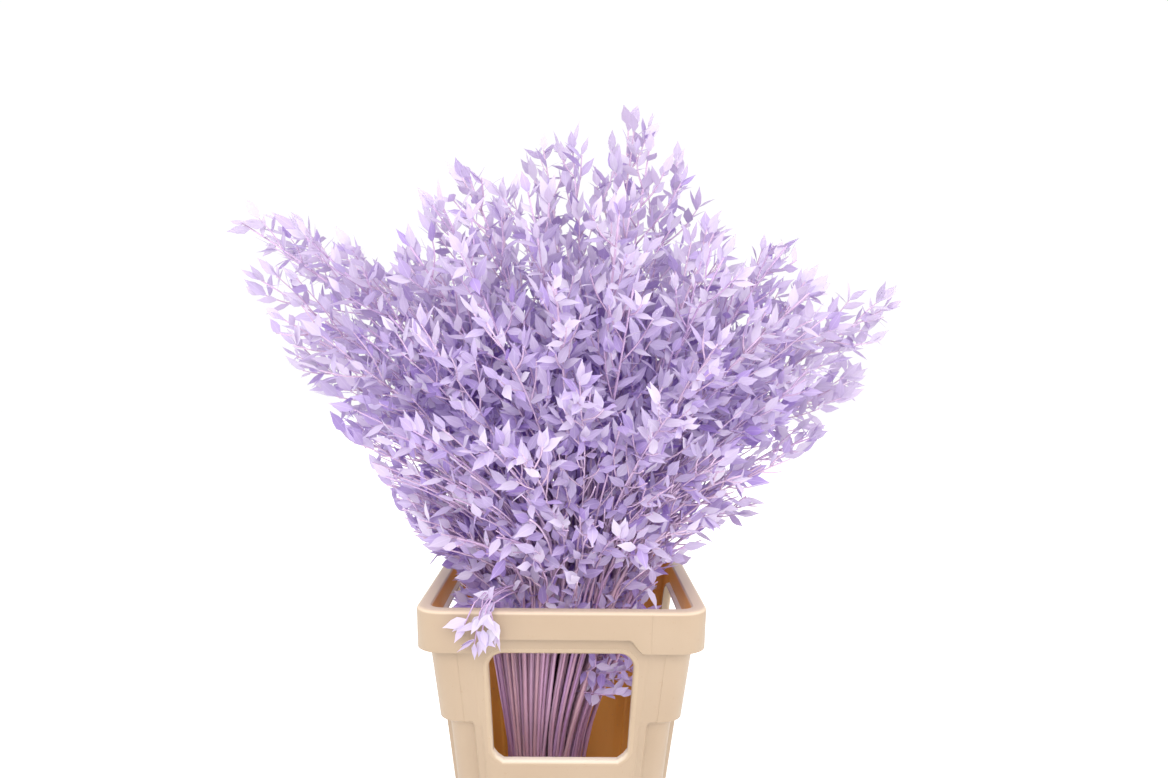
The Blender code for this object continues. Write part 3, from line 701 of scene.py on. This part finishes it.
def run_along(line):
    """Distance from a line's start to each of its points."""
    return np.concatenate([[0], np.cumsum(np.linalg.norm(np.diff(line, axis=0), axis=1))])


def band(low, high, count):
    """Faces between two rings of count points, which start at low and high."""
    return [(low + i, low + (i + 1) % count, high + (i + 1) % count, high + i) for i in range(count)]


class Mesh:
    """Gathers faces, with their texture places, tints and material numbers, into one object."""

    def __init__(self):
        self.rows, self.faces, self.slots, self.count = [], [], [], 0

    def add(self, vertices, faces, places, tints, slot):
        """One closed shape, with a place and a tint for each vertex and one material."""
        self.rows.append([np.asarray(values, dtype=np.float32) for values in (vertices, places, tints)])
        self.faces += [[self.count + i for i in face] for face in faces]
        self.slots += [slot] * len(faces)
        self.count += len(vertices)

    def tube(self, line, radii, sides, tone, pale):
        """A smooth round branch along a line. pale is one value or one for each row."""
        ahead = unit(np.gradient(line, axis=0))
        side = unit(np.cross(ahead, (0.31, 0.87, 0.38)))
        other = np.cross(ahead, side)
        turns = np.arange(sides) * 2 * math.pi / sides
        c, s = np.cos(turns)[None, :, None], np.sin(turns)[None, :, None]
        ring = c * side[:, None, :] + s * other[:, None, :]
        vertices = (line[:, None, :] + ring * radii[:, None, None]).reshape(-1, 3)
        rows = len(line)
        faces = [tuple(range(sides - 1, -1, -1))]
        for r in range(rows - 1):
            faces += band(r * sides, (r + 1) * sides, sides)
        faces.append(tuple(range((rows - 1) * sides, rows * sides)))
        around = np.tile(turns / (2 * math.pi), rows)
        places = np.stack([np.repeat(run_along(line), sides), around], axis=1)
        tints = np.ones((rows * sides, 4))
        tints[:, :2] = tone
        tints[:, 2] = np.repeat(np.broadcast_to(pale, rows), sides)
        self.add(vertices, faces, places, tints, WOOD_SLOT)

    def make(self, name, materials):
        """The object, smooth apart from the leaves' edges."""
        vertices, places, tints = (np.concatenate(values) for values in zip(*self.rows))
        mesh = bpy.data.meshes.new(name)
        mesh.from_pydata(vertices.tolist(), [], self.faces)
        loops = np.empty(len(mesh.loops), dtype=np.int32)
        mesh.loops.foreach_get("vertex_index", loops)
        mesh.uv_layers.new(name="place").data.foreach_set("uv", places[loops].ravel())
        tint = mesh.color_attributes.new("tint", "FLOAT_COLOR", "POINT")
        tint.data.foreach_set("color", tints.ravel())
        for material in materials:
            mesh.materials.append(material)
        mesh.polygons.foreach_set("material_index", np.array(self.slots, dtype=np.int32))
        mesh.polygons.foreach_set("use_smooth", np.ones(len(mesh.polygons), dtype=bool))
        mesh.set_sharp_from_angle(angle=BLADE_EDGE)
        return put(name, mesh)


def leaf_faces():
    """Faces of a thin closed blade: base, four sections of left, top, right and underside, tip."""
    faces = [(0, 1 + (k + 1) % 4, 1 + k) for k in range(4)]
    for s in range(len(LEAF_SECTIONS) - 1):
        faces += band(1 + 4 * s, 5 + 4 * s, 4)
    last = 1 + 4 * (len(LEAF_SECTIONS) - 1)
    return faces + [(last + k, last + (k + 1) % 4, last + 4) for k in range(4)]


LEAF_FACES = leaf_faces()


def leaf_vertices(base, along, normal, length, width, fold, droop, twist):
    """Places of one leaf's corners and their texture places."""
    across = np.cross(along, normal)
    across /= np.linalg.norm(across)
    normal = np.cross(across, along)
    points, places = [base], [(0.0, 0.5)]
    for share, wide in LEAF_SECTIONS:
        turn = twist * share
        side = across * math.cos(turn) + normal * math.sin(turn)
        up = normal * math.cos(turn) - across * math.sin(turn)
        middle = base + along * length * share - normal * length * droop * share ** 2
        half = width / 2 * wide
        rise = up * half * math.tan(fold)
        thin = up * LEAF_THIN * (0.4 + 0.6 * wide)
        points += [middle - side * half + rise, middle + thin, middle + side * half + rise, middle - thin]
        places += [(share, 0.5 - 0.5 * wide), (share, 0.5), (share, 0.5 + 0.5 * wide), (share, 0.5)]
    points.append(base + along * length - normal * length * droop)
    places.append((1.0, 0.5))
    return points, places


def facing(point):
    """The way that leaves at a point mostly face: out of the crown and a little up."""
    if point[2] < BUCKET_HEIGHT + 0.02:
        return unit(np.array((0.5 * point[0], math.copysign(0.10, point[1]), 0.05)))
    out = unit(np.array((point[0] - CROWN_ROOT.x, point[1], 0.7 * (point[2] - 0.42))))
    return unit(out + np.array((0.0, 0.0, 0.42)))


def fits(points, reach):
    """True where a leaf is inside the part's box and the outline, and clear of the bucket's wall."""
    tip = points[-1]
    outermost = [points[i] for i in LEAF_EDGES] + [tip]
    low, high = cad_box
    if any(point[i] < low[i] or point[i] > high[i] for point in outermost for i in range(3)):
        return False
    if tip[2] > BUCKET_HEIGHT + LIMIT_ABOVE_RIM and outline_share(Vector(tip)) > reach:
        return False
    for point in outermost:
        wide = max(abs(point[0]), abs(point[1]))
        by_bucket = point[2] < BUCKET_HEIGHT + RIM_CLEAR and wide < RIM_HALF + RIM_CLEAR
        if by_bucket and wide > body_half(point[2]) - WALL_CLEAR:
            return False
    return True


def leaf_spots(draw, total, start, step):
    """Distances of leaves along a twig, each with its opening in degrees."""
    spots = []
    at = start * total + draw.uniform(0, step)
    while at < total - 0.003:
        spots.append((at, draw.uniform(*LEAF_OPENING)))
        at += step * draw.uniform(*LEAF_GAPS)
    spots.append((total, draw.uniform(*TIP_OPENING)))
    spots.append((total - BELOW_TIP, draw.uniform(*BELOW_TIP_OPENING)))
    return spots


def add_leaf(mesh, draw, point, ahead, turn, opening, reach):
    """The first of a few leaves that fits at a point of a twig. opening is in degrees."""
    face = facing(point)
    side = unit(np.cross(ahead, face + 0.01))
    up = np.cross(side, ahead)
    for attempt in range(LEAF_TRIES):
        angle = turn + attempt * LEAF_TURN
        out = side * math.cos(angle) + up * (0.25 + 0.75 * math.sin(angle))
        along = lean_out(ahead, unit(out), math.radians(opening))
        along = unit(along + np.array([draw.gauss(0, LEAF_STRAY) for _ in range(3)]))
        mess = np.array([draw.gauss(0, LEAF_MESS) for _ in range(3)])
        normal = unit(ahead * 0.15 + face * 0.9 + mess)
        if np.linalg.norm(np.cross(along, normal)) < 0.3:
            continue
        front, back = FRONT_LEAF_DEPTHS
        size = draw.uniform(*LEAF_SPREAD) * (1 + FRONT_LEAF_SHRINK * max(front, min(back, point[1])))
        size *= HELD_LEAF if point[2] < BUCKET_HEIGHT else 1.0
        width = LEAF_SIZE[1] * size * draw.uniform(*WIDTH_SPREAD)
        fold = math.radians(draw.uniform(*LEAF_FOLD))
        droop, twist = draw.uniform(*LEAF_DROOP), draw.uniform(*LEAF_TWIST)
        points, places = leaf_vertices(
            point, along, normal, LEAF_SIZE[0] * size, width, fold, droop, twist)
        if fits(points, reach):
            # painted shade: the further in the crown a leaf sits, the darker violet it is painted
            painted_shade = PAINTED_SHADE_RISE * (PAINTED_SHADE_FROM - crown_share(point)) + draw.gauss(0, PAINTED_SHADE_SPREAD)
            tint = (draw.random(), draw.random(), min(1.0, max(0.0, painted_shade)), 1.0)
            mesh.add(points, LEAF_FACES, places, [tint] * len(points), LEAF_SLOT)
            return


def leaves_on(mesh, draw, line, start, step, reach):
    """Leaves on both sides of a twig, from a share of its length on, with two at its tip."""
    run = run_along(line)
    total = run[-1]

    def point_at(distance):
        return np.array([np.interp(distance, run, line[:, i]) for i in range(3)])

    spots = leaf_spots(draw, total, start, step)
    turn = draw.uniform(0, 6.28)
    for at, opening in spots:
        point = point_at(at)
        ahead = unit(point_at(min(total, at + 0.006)) - point_at(max(0, at - 0.006)))
        turn += math.pi + draw.uniform(-0.5, 0.5)
        if BUCKET_HEIGHT < point[2] < THIN_BELOW and draw.random() < THIN_SHARE:
            continue
        add_leaf(mesh, draw, point, ahead, turn, opening, reach)


def wander(draw, line):
    """Small smooth bends, none at the start."""
    knots = np.array([[draw.uniform(-WANDER, WANDER) for _ in range(3)] for _ in range(WANDER_KNOTS)])
    knots[0] = 0
    at = np.linspace(0, WANDER_KNOTS - 1, len(line))
    return line + np.stack([np.interp(at, range(WANDER_KNOTS), knots[:, i]) for i in range(3)], axis=1)


def add_stem(mesh, draw, stem, own):
    """Wood, twigs and leaves of one stem. own is true for one of the part's stems."""
    if stem["bare"]:
        low_twig(draw, stem, BARE_TWIG_AT)
    else:
        fine_twigs(draw, stem)
        low_twig(draw, stem, LEAFY_TWIG_AT)
    low = smooth_line([stem["foot"], stem["waist"], stem["neck"]], LOW_POINTS)[:-1]
    upper = np.array([stem_point(stem, share) for share in np.linspace(0, 1, UPPER_POINTS)])
    upper = wander(draw, upper)
    line = np.concatenate([low, upper])
    share = np.linspace(0, 1, len(line))
    radii = STEM_RADIUS[0] + (STEM_RADIUS[1] - STEM_RADIUS[0]) * np.clip(share * 1.5 - 0.5, 0, 1)
    radii *= draw.uniform(*(OWN_GIRTH if own else MORE_GIRTH))
    for row in range(draw.randint(2, 4), len(line) - 6, draw.randint(4, 6)):
        radii[row] *= NODE_SWELL
    tone = (draw.random(), draw.random())
    mesh.tube(line, radii, STEM_SIDES, tone, np.clip(share * 2.2 - 0.9, 0, 0.65))
    reach = OWN_LEAF_LIMIT if own else MORE_LEAF_LIMIT
    leaves_on(mesh, draw, upper, *STEM_LEAVES, reach)
    for twig in stem["twigs"]:
        twig_line = smooth_line(twig, TWIG_POINTS)
        mesh.tube(twig_line, np.linspace(*TWIG_RADIUS, len(twig_line)), TWIG_SIDES, tone, TWIG_PALE)
        held = twig[-1].z < BUCKET_HEIGHT
        leaves_on(mesh, draw, twig_line, *(HELD_LEAVES if held else TWIG_LEAVES), reach)


def make_stem_piece(number, group, materials):
    """One stem of the part with the added stems beside it, as one piece."""
    draw = random.Random(SEED * 100 + number)
    mesh = Mesh()
    for index, stem in enumerate(group):
        add_stem(mesh, draw, stem, own=index == 0)
    piece = mesh.make(f"leafy_stem_{number + 1:02d}", materials)
    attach(piece, "root")
    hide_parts(f"ruscus_stem_{number + 1:02d}")


class Look:
    """A new material, with short ways to add the nodes that the looks need."""

    def __init__(self, name):
        self.material = bpy.data.materials.new(name)
        self.material.use_nodes = True
        self.nodes = self.material.node_tree.nodes
        self.links = self.material.node_tree.links
        self.shader = self.nodes["Principled BSDF"]

    def fill(self, node, values):
        """Fills a node's inputs by name or number, each with a number, a colour or a socket."""
        for key, value in values.items():
            if isinstance(value, bpy.types.NodeSocket):
                self.links.new(value, node.inputs[key])
            elif isinstance(value, tuple):
                node.inputs[key].default_value = (*value, 1.0)
            else:
                node.inputs[key].default_value = value

    def add(self, kind, values, **settings):
        """A new node, with its settings and its inputs."""
        node = self.nodes.new("ShaderNode" + kind)
        for name, setting in settings.items():
            setattr(node, name, setting)
        self.fill(node, values)
        return node

    def mix(self, factor, a, b):
        """A mix of two colours."""
        return self.add("Mix", {0: factor, 6: a, 7: b}, data_type="RGBA").outputs[2]

    def maths(self, operation, *values):
        return self.add("Math", dict(enumerate(values)), operation=operation).outputs[0]

    def times(self, a, b):
        return self.maths("MULTIPLY", a, b)

    def tints(self):
        """The tints that each vertex carries: two tones, and a leaf's painted shade or how pale wood is.
        """
        tint = self.add("Attribute", {}, attribute_name="tint")
        return self.add("SeparateColor", {0: tint.outputs["Color"]}).outputs

    def bump(self, height, strength, distance):
        """Small relief on the surface."""
        bump = self.add("Bump", {"Strength": strength, "Distance": distance, "Height": height})
        self.fill(self.shader, {"Normal": bump.outputs[0]})


def leaf_material():
    """Leaf: lilac to near white, with painted shade, a darker violet, deeper inside the crown, a faint
    painted glow, a pale rib and fine veins.
    """
    look = Look("dyed_leaf")
    tone, rosy, painted_shade = look.tints()
    place = look.add("UVMap", {}, uv_map="place")
    across = look.add("SeparateXYZ", {0: place.outputs[0]}).outputs[1]
    base = look.mix(tone, *LEAF_TONES)
    base = look.mix(look.times(rosy, 0.35), base, LEAF_ROSE)
    # painted shade: darker violet deep in the crown
    base = look.mix(look.times(painted_shade, 0.85), base, LEAF_PAINTED_SHADE)
    off = look.maths("ABSOLUTE", look.maths("SUBTRACT", across, 0.5))
    rib = look.maths("LESS_THAN", off, RIB_HALF)
    veins = look.maths("SINE", look.times(off, VEIN_WAVES))
    lines = look.maths("GREATER_THAN", veins, 0.55)
    base = look.mix(look.times(lines, 0.16), base, VEIN_COLOUR)
    base = look.mix(look.times(rib, 0.45), base, RIB_COLOUR)
    # the faint violet emission is a painted glow that lifts the leaves' shade
    look.fill(look.shader, {
        "Base Color": base, "Roughness": 0.58, "Specular IOR Level": 0.32,
        "Emission Color": PAINTED_GLOW_COLOUR, "Emission Strength": 0.05,
    })
    look.bump(veins, 0.25, 0.0003)
    through = look.add("BsdfTranslucent", {"Color": look.mix(0.5, base, THROUGH_COLOUR)})
    both = look.add("MixShader", {0: 0.45, 1: look.shader.outputs[0], 2: through.outputs[0]})
    look.fill(look.nodes["Material Output"], {"Surface": both.outputs[0]})
    return look.material


def wood_material():
    """Wood: mauve with some tan, paler towards the tips, and streaked."""
    look = Look("dyed_wood")
    tone, tan, pale = look.tints()
    grain = look.add("TexNoise", {"Scale": 90.0, "Detail": 3.0}).outputs[0]
    dark = look.mix(tone, *DARK_WOOD)
    dark = look.mix(look.times(tan, 0.60), dark, TAN_WOOD)
    base = look.mix(pale, dark, look.mix(tone, *PALE_WOOD))
    base = look.mix(look.times(grain, 0.40), base, WOOD_STREAK)
    look.fill(look.shader, {"Base Color": base, "Roughness": 0.55})
    look.bump(grain, 0.4, 0.0004)
    return look.material


def plastic_material(name, colours, painted_top_light):
    """The bucket's plastic between two colours, with specks. Painted light makes the rim's top edge
    paler, and the last argument is how much paler, as painted top light, it is where it faces up.
    """
    look = Look(name)
    where = look.add("TexCoord", {}).outputs["Object"]
    clouds = look.add("TexNoise", {"Vector": where, "Scale": 9.0, "Detail": 5.0}).outputs[0]
    specks = look.add("TexNoise", {"Vector": where, "Scale": 260.0, "Detail": 2.0}).outputs[0]
    base = look.mix(clouds, *colours)
    dots = look.maths("GREATER_THAN", specks, 0.71)
    base = look.mix(look.times(dots, 0.35), base, SPECK_COLOUR)
    height = look.add("SeparateXYZ", {0: where}).outputs[2]
    # painted highlight: the rim's top edge is painted paler
    rim_highlight = look.add("MapRange", {"Value": height, **PAINTED_RIM_HIGHLIGHT}, interpolation_type="SMOOTHSTEP")
    base = look.mix(rim_highlight.outputs[0], base, RIM_HIGHLIGHT_COLOUR)
    # painted top light: faces that face up are painted paler
    normal = look.add("NewGeometry", {}).outputs["Normal"]
    top_light_share = look.maths("MAXIMUM", look.add("SeparateXYZ", {0: normal}).outputs[2], 0.0)
    base = look.mix(look.times(top_light_share, painted_top_light), base, PAINTED_TOP_LIGHT_COLOUR)
    look.fill(look.shader, {"Base Color": base, "Roughness": 0.46, "Specular IOR Level": 0.4})
    look.bump(specks, 0.12, 0.0005)
    return look.material


def make_object(name, vertices, faces):
    """An object in the scene, with its faces turned outwards."""
    mesh = bpy.data.meshes.new(name)
    mesh.from_pydata([tuple(v) for v in vertices], [], faces)
    work = bmesh.new()
    work.from_mesh(mesh)
    bmesh.ops.recalc_face_normals(work, faces=work.faces)
    work.to_mesh(mesh)
    work.free()
    return put(name, mesh)


def apply_modifiers(thing):
    """Makes the modified shape the object's own."""
    graph = bpy.context.evaluated_depsgraph_get()
    made = bpy.data.meshes.new_from_object(thing.evaluated_get(graph))
    thing.modifiers.clear()
    thing.data = made


def turned(quarter, x, y, z):
    """A point of the front side, turned to another side by quarter turns."""
    c, s = round(math.cos(quarter * math.pi / 2)), round(math.sin(quarter * math.pi / 2))
    return c * x - s * y, s * x + c * y, z


def bucket_ring(height, half, corner, step=0.0, rise=0.0, panel=0.0, seam=0.0, corner_seam=0.0):
    """One ring of points round the bucket.

    step sets the corners in, rise lifts the middle of a side, panel stands the middle out, and the
    seams are the depths of its mould lines.
    """
    stations = [(STEP_OUT, 0.0), (STEP_IN, 0.0), (PANEL_EDGE[0], 0.0), (PANEL_EDGE[1], 0.0)]
    for at, depth in ((CORNER_SEAM_AT, corner_seam), (SEAM_AT, seam)):
        stations += [(at - SEAM_HALF, 0.0), (at, depth), (at + SEAM_HALF, 0.0)]
    for k in range(RISE_STEPS + 1):
        stations.append((RISE_START + (RISE_END - RISE_START) * k / RISE_STEPS, 0.0))
    half_side = []
    for share, depth in sorted(stations, reverse=True):
        t = min(1.0, max(0.0, (RISE_START - share) / (RISE_START - RISE_END)))
        inset = depth + (step if share >= STEP_OUT else 0.0) - (panel if share <= PANEL_EDGE[1] else 0.0)
        half_side.append((share, inset, rise * t * t * (3 - 2 * t)))
    both = [(-share, inset, lift) for share, inset, lift in half_side] + half_side[::-1]
    centre = half - step - corner
    side = [(share * half, inset - half, height + lift) for share, inset, lift in both]
    for k in range(CORNER_SEGMENTS + 1):
        turn = -math.pi / 2 * (1 - k / CORNER_SEGMENTS)
        side.append((centre + corner * math.cos(turn), -centre + corner * math.sin(turn), height))
    return [turned(quarter, *point) for quarter in range(4) for point in side]


def bucket_rings():
    """The bucket's rings, up the outside, over the rim and down the inside."""
    top = BUCKET_HEIGHT
    under = top - FLANGE_THICK
    shoulder_panel = PANEL_PROUD - SHOULDER
    skirt_half, inner_half = RIM_HALF - SKIRT_THICK, RIM_HALF - RIM_FACE
    rings = [
        bucket_ring(0.0, BODY_HALF_LOW, BODY_CORNER - FOOT_TIGHTER[0], FOOT_STEP, panel=PANEL_PROUD),
        bucket_ring(LEDGE_LOW, body_half(LEDGE_LOW), BODY_CORNER - LEDGE_TIGHTER[0], LEDGE_STEP,
                    panel=PANEL_PROUD),
        bucket_ring(LEDGE_HIGH, body_half(LEDGE_HIGH) + SHOULDER, BODY_CORNER, panel=shoulder_panel,
                    corner_seam=SEAM_DEPTH),
        bucket_ring(under, body_half(under) + SHOULDER, BODY_CORNER + TOP_WIDER, panel=shoulder_panel,
                    corner_seam=SEAM_DEPTH),
        bucket_ring(under, skirt_half, RIM_CORNER - SKIRT_THICK),
        bucket_ring(SKIRT_LOW, skirt_half - SKIRT_TAPER, RIM_CORNER - SKIRT_THICK, rise=SKIRT_RISE),
        bucket_ring(SKIRT_LOW, RIM_HALF - SKIRT_TAPER, RIM_CORNER, rise=SKIRT_RISE, seam=SEAM_DEPTH),
    ]
    for k in range(RIM_STEPS + 1):
        turn = math.pi / 2 * k / RIM_STEPS
        back = RIM_ROUND * (1 - math.cos(turn))
        height, seam = top - RIM_ROUND * (1 - math.sin(turn)), SEAM_DEPTH * math.cos(turn)
        rings.append(bucket_ring(height, RIM_HALF - back, RIM_CORNER - back, seam=seam))
    (drop, step_in), (low_drop, low_step_in) = INNER_EDGE
    rings += [
        bucket_ring(top, inner_half, RIM_CORNER - RIM_FACE),
        bucket_ring(top - drop, inner_half - step_in, RIM_CORNER - RIM_FACE - step_in),
        bucket_ring(top - low_drop, inner_half - low_step_in, BODY_CORNER - WALL),
        bucket_ring(LEDGE_HIGH + LEDGE_INSIDE, body_half(LEDGE_HIGH) - WALL, BODY_CORNER - WALL),
        bucket_ring(LEDGE_LOW + LEDGE_INSIDE, body_half(LEDGE_LOW) - WALL, BODY_CORNER - LEDGE_TIGHTER[1],
                    LEDGE_STEP),
        bucket_ring(FLOOR, body_half(FLOOR) - WALL, BODY_CORNER - FOOT_TIGHTER[1], FOOT_STEP),
    ]
    return rings


def closed_object(name, rings):
    """An object through rings of equally many points, closed at both ends."""
    n = len(rings[0])
    faces = [tuple(range(n))]
    for level in range(len(rings) - 1):
        faces += band(level * n, (level + 1) * n, n)
    faces.append(tuple(range((len(rings) - 1) * n, len(rings) * n)))
    return make_object(name, [point for ring in rings for point in ring], faces)


def window_outline(low, high, wider=0.0):
    """A window's outline on the wall, from its lower right corner on."""
    half_low, half_top = WINDOW_HALF_LOW + wider, WINDOW_HALF_TOP + wider
    low, high = low - wider, high + wider
    middle = CHAMFER_MIDDLE * WINDOW_CHAMFER
    right = [(half_low - WINDOW_CHAMFER, low), (half_low - middle, low + middle)]
    right.append((half_low, low + WINDOW_CHAMFER))
    for k in range(WINDOW_SEGMENTS + 1):
        turn = math.pi / 2 * k / WINDOW_SEGMENTS
        across = half_top - WINDOW_ROUND * (1 - math.cos(turn))
        right.append((across, high - WINDOW_ROUND * (1 - math.sin(turn))))
    return right + [(-x, z) for x, z in reversed(right)]


def cut_window(bucket, quarter, low, high):
    """Cuts a window a little wider than its opening, under where its lip goes."""
    outline = window_outline(low, high, UNDER_LIP)
    rings = [
        [turned(quarter, x, -y, z) for x, z in outline]
        for y in (body_half(low) - CUTTER_IN, body_half(high) + CUTTER_OUT)
    ]
    cutter = closed_object(f"window_cutter_{quarter}", rings)
    cut = bucket.modifiers.new(cutter.name, "BOOLEAN")
    cut.object = cutter
    apply_modifiers(bucket)
    bpy.data.objects.remove(cutter, do_unlink=True)


def window_lip(quarter, low, high):
    """The rounded bead round a window, on the wall's outside."""
    outline = [np.array(p) for p in window_outline(low, high)]
    n, m = len(outline), len(LIP)
    points, faces = [], []
    for i in range(n):
        before, after = outline[i] - outline[i - 1], outline[(i + 1) % n] - outline[i]
        way = unit(unit(before) + unit(after))
        out = np.array((way[1], -way[0]))
        for distance, proud in LIP:
            x, z = outline[i] + out * distance
            points.append(turned(quarter, x, -(body_half(z) + proud), z))
        faces += band(i * m, (i + 1) % n * m, m)
    return make_object(f"window_lip_{quarter}", points, faces)


def round_edges(bucket):
    bevel = bucket.modifiers.new("round", "BEVEL")
    bevel.width = EDGE_ROUND
    bevel.segments = 2
    bevel.limit_method = "ANGLE"
    bevel.angle_limit = ROUND_ANGLE
    apply_modifiers(bucket)


def paint(bucket):
    """Gives the outside its plastic, and the inside an orange-brown copy of it that is painted shade and
    bounced light.
    """
    bucket.data.materials.clear()
    for name, colours, painted_top_light in PLASTICS:
        bucket.data.materials.append(plastic_material(name, colours, painted_top_light))
    for face in bucket.data.polygons:
        at, way = face.center, face.normal
        inward = way.x * at.x + way.y * at.y < 0.3 * math.hypot(at.x, at.y) * way.z
        wide = max(abs(at.x), abs(at.y))
        held = wide < body_half(at.z) - 0.3 * WALL and 0.4 * FLOOR < at.z < BUCKET_HEIGHT - 0.001
        face.material_index = SHADED_INSIDE_SLOT if held and inward else OUTSIDE_SLOT


def join_lips(bucket, lips):
    """Adds the windows' lips, and makes all smooth up to the sharp edges."""
    work = bmesh.new()
    work.from_mesh(bucket.data)
    for lip in lips:
        # the lips take the paler plastic, painted light
        for face in lip.data.polygons:
            face.material_index = LIT_LIP_SLOT
        work.from_mesh(lip.data)
        bpy.data.objects.remove(lip, do_unlink=True)
    for edge in work.edges:
        if len(edge.link_faces) == 2:
            edge.smooth = edge.calc_face_angle() < SHARP_ANGLE
    for face in work.faces:
        face.smooth = True
    work.to_mesh(bucket.data)
    work.free()


def make_bucket():
    bucket = closed_object("square_bucket", bucket_rings())
    lips = []
    for quarter in range(4):
        low, high = SIDE_WINDOW if quarter % 2 else FRONT_WINDOW
        cut_window(bucket, quarter, low, high)
        lips.append(window_lip(quarter, low, high))
    round_edges(bucket)
    paint(bucket)
    join_lips(bucket, lips)
    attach(bucket, "root")
    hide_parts("flower_bucket")


def make_floor():
    floor = make_object("pale_floor", GROUND, [(0, 1, 2, 3)])
    look = Look("pale_floor")
    look.fill(look.shader, {
        "Base Color": GROUND_COLOUR, "Roughness": 0.9,
        "Emission Color": (1.0, 1.0, 1.0), "Emission Strength": GROUND_GLOW,
    })
    floor.data.materials.append(look.material)


def area_light(name, at, towards, size, power):
    """A round light that faces a point."""
    light = bpy.data.lights.new(name, "AREA")
    light.shape = "DISK"
    light.size = size
    light.energy = power
    thing = put(name, light)
    thing.location = at
    thing.rotation_euler = (Vector(towards) - Vector(at)).to_track_quat("-Z", "Y").to_euler()


def make_camera():
    camera = bpy.data.cameras.new("camera")
    camera.lens = CAMERA_LENS
    camera.sensor_width = SENSOR_WIDTH
    camera.clip_start = CAMERA_NEAR
    thing = put("camera", camera)
    thing.location = CAMERA_AT
    aim = Euler((math.radians(90 + CAMERA_PITCH), 0.0, math.radians(CAMERA_YAW)), "XYZ").to_matrix()
    thing.rotation_euler = (aim @ Matrix.Rotation(math.radians(CAMERA_ROLL), 3, "Z")).to_euler()
    bpy.context.scene.camera = thing


def make_stage():
    make_floor()
    world = bpy.data.worlds.new("studio")
    bpy.context.scene.world = world
    world.use_nodes = True
    sky = world.node_tree.nodes["Background"]
    sky.inputs[0].default_value = (1.0, 1.0, 1.0, 1.0)
    sky.inputs[1].default_value = SKY_STRENGTH
    for row in LIGHTS:
        area_light(*row)
    make_camera()
    bpy.context.scene.view_settings.view_transform = "Standard"


def main():
    make_bucket()
    materials = [leaf_material(), wood_material()]
    stems = plan_stems()
    more_shoots(stems)
    for number, group in enumerate(more_stems(stems)):
        make_stem_piece(number, group, materials)
    make_stage()


main()
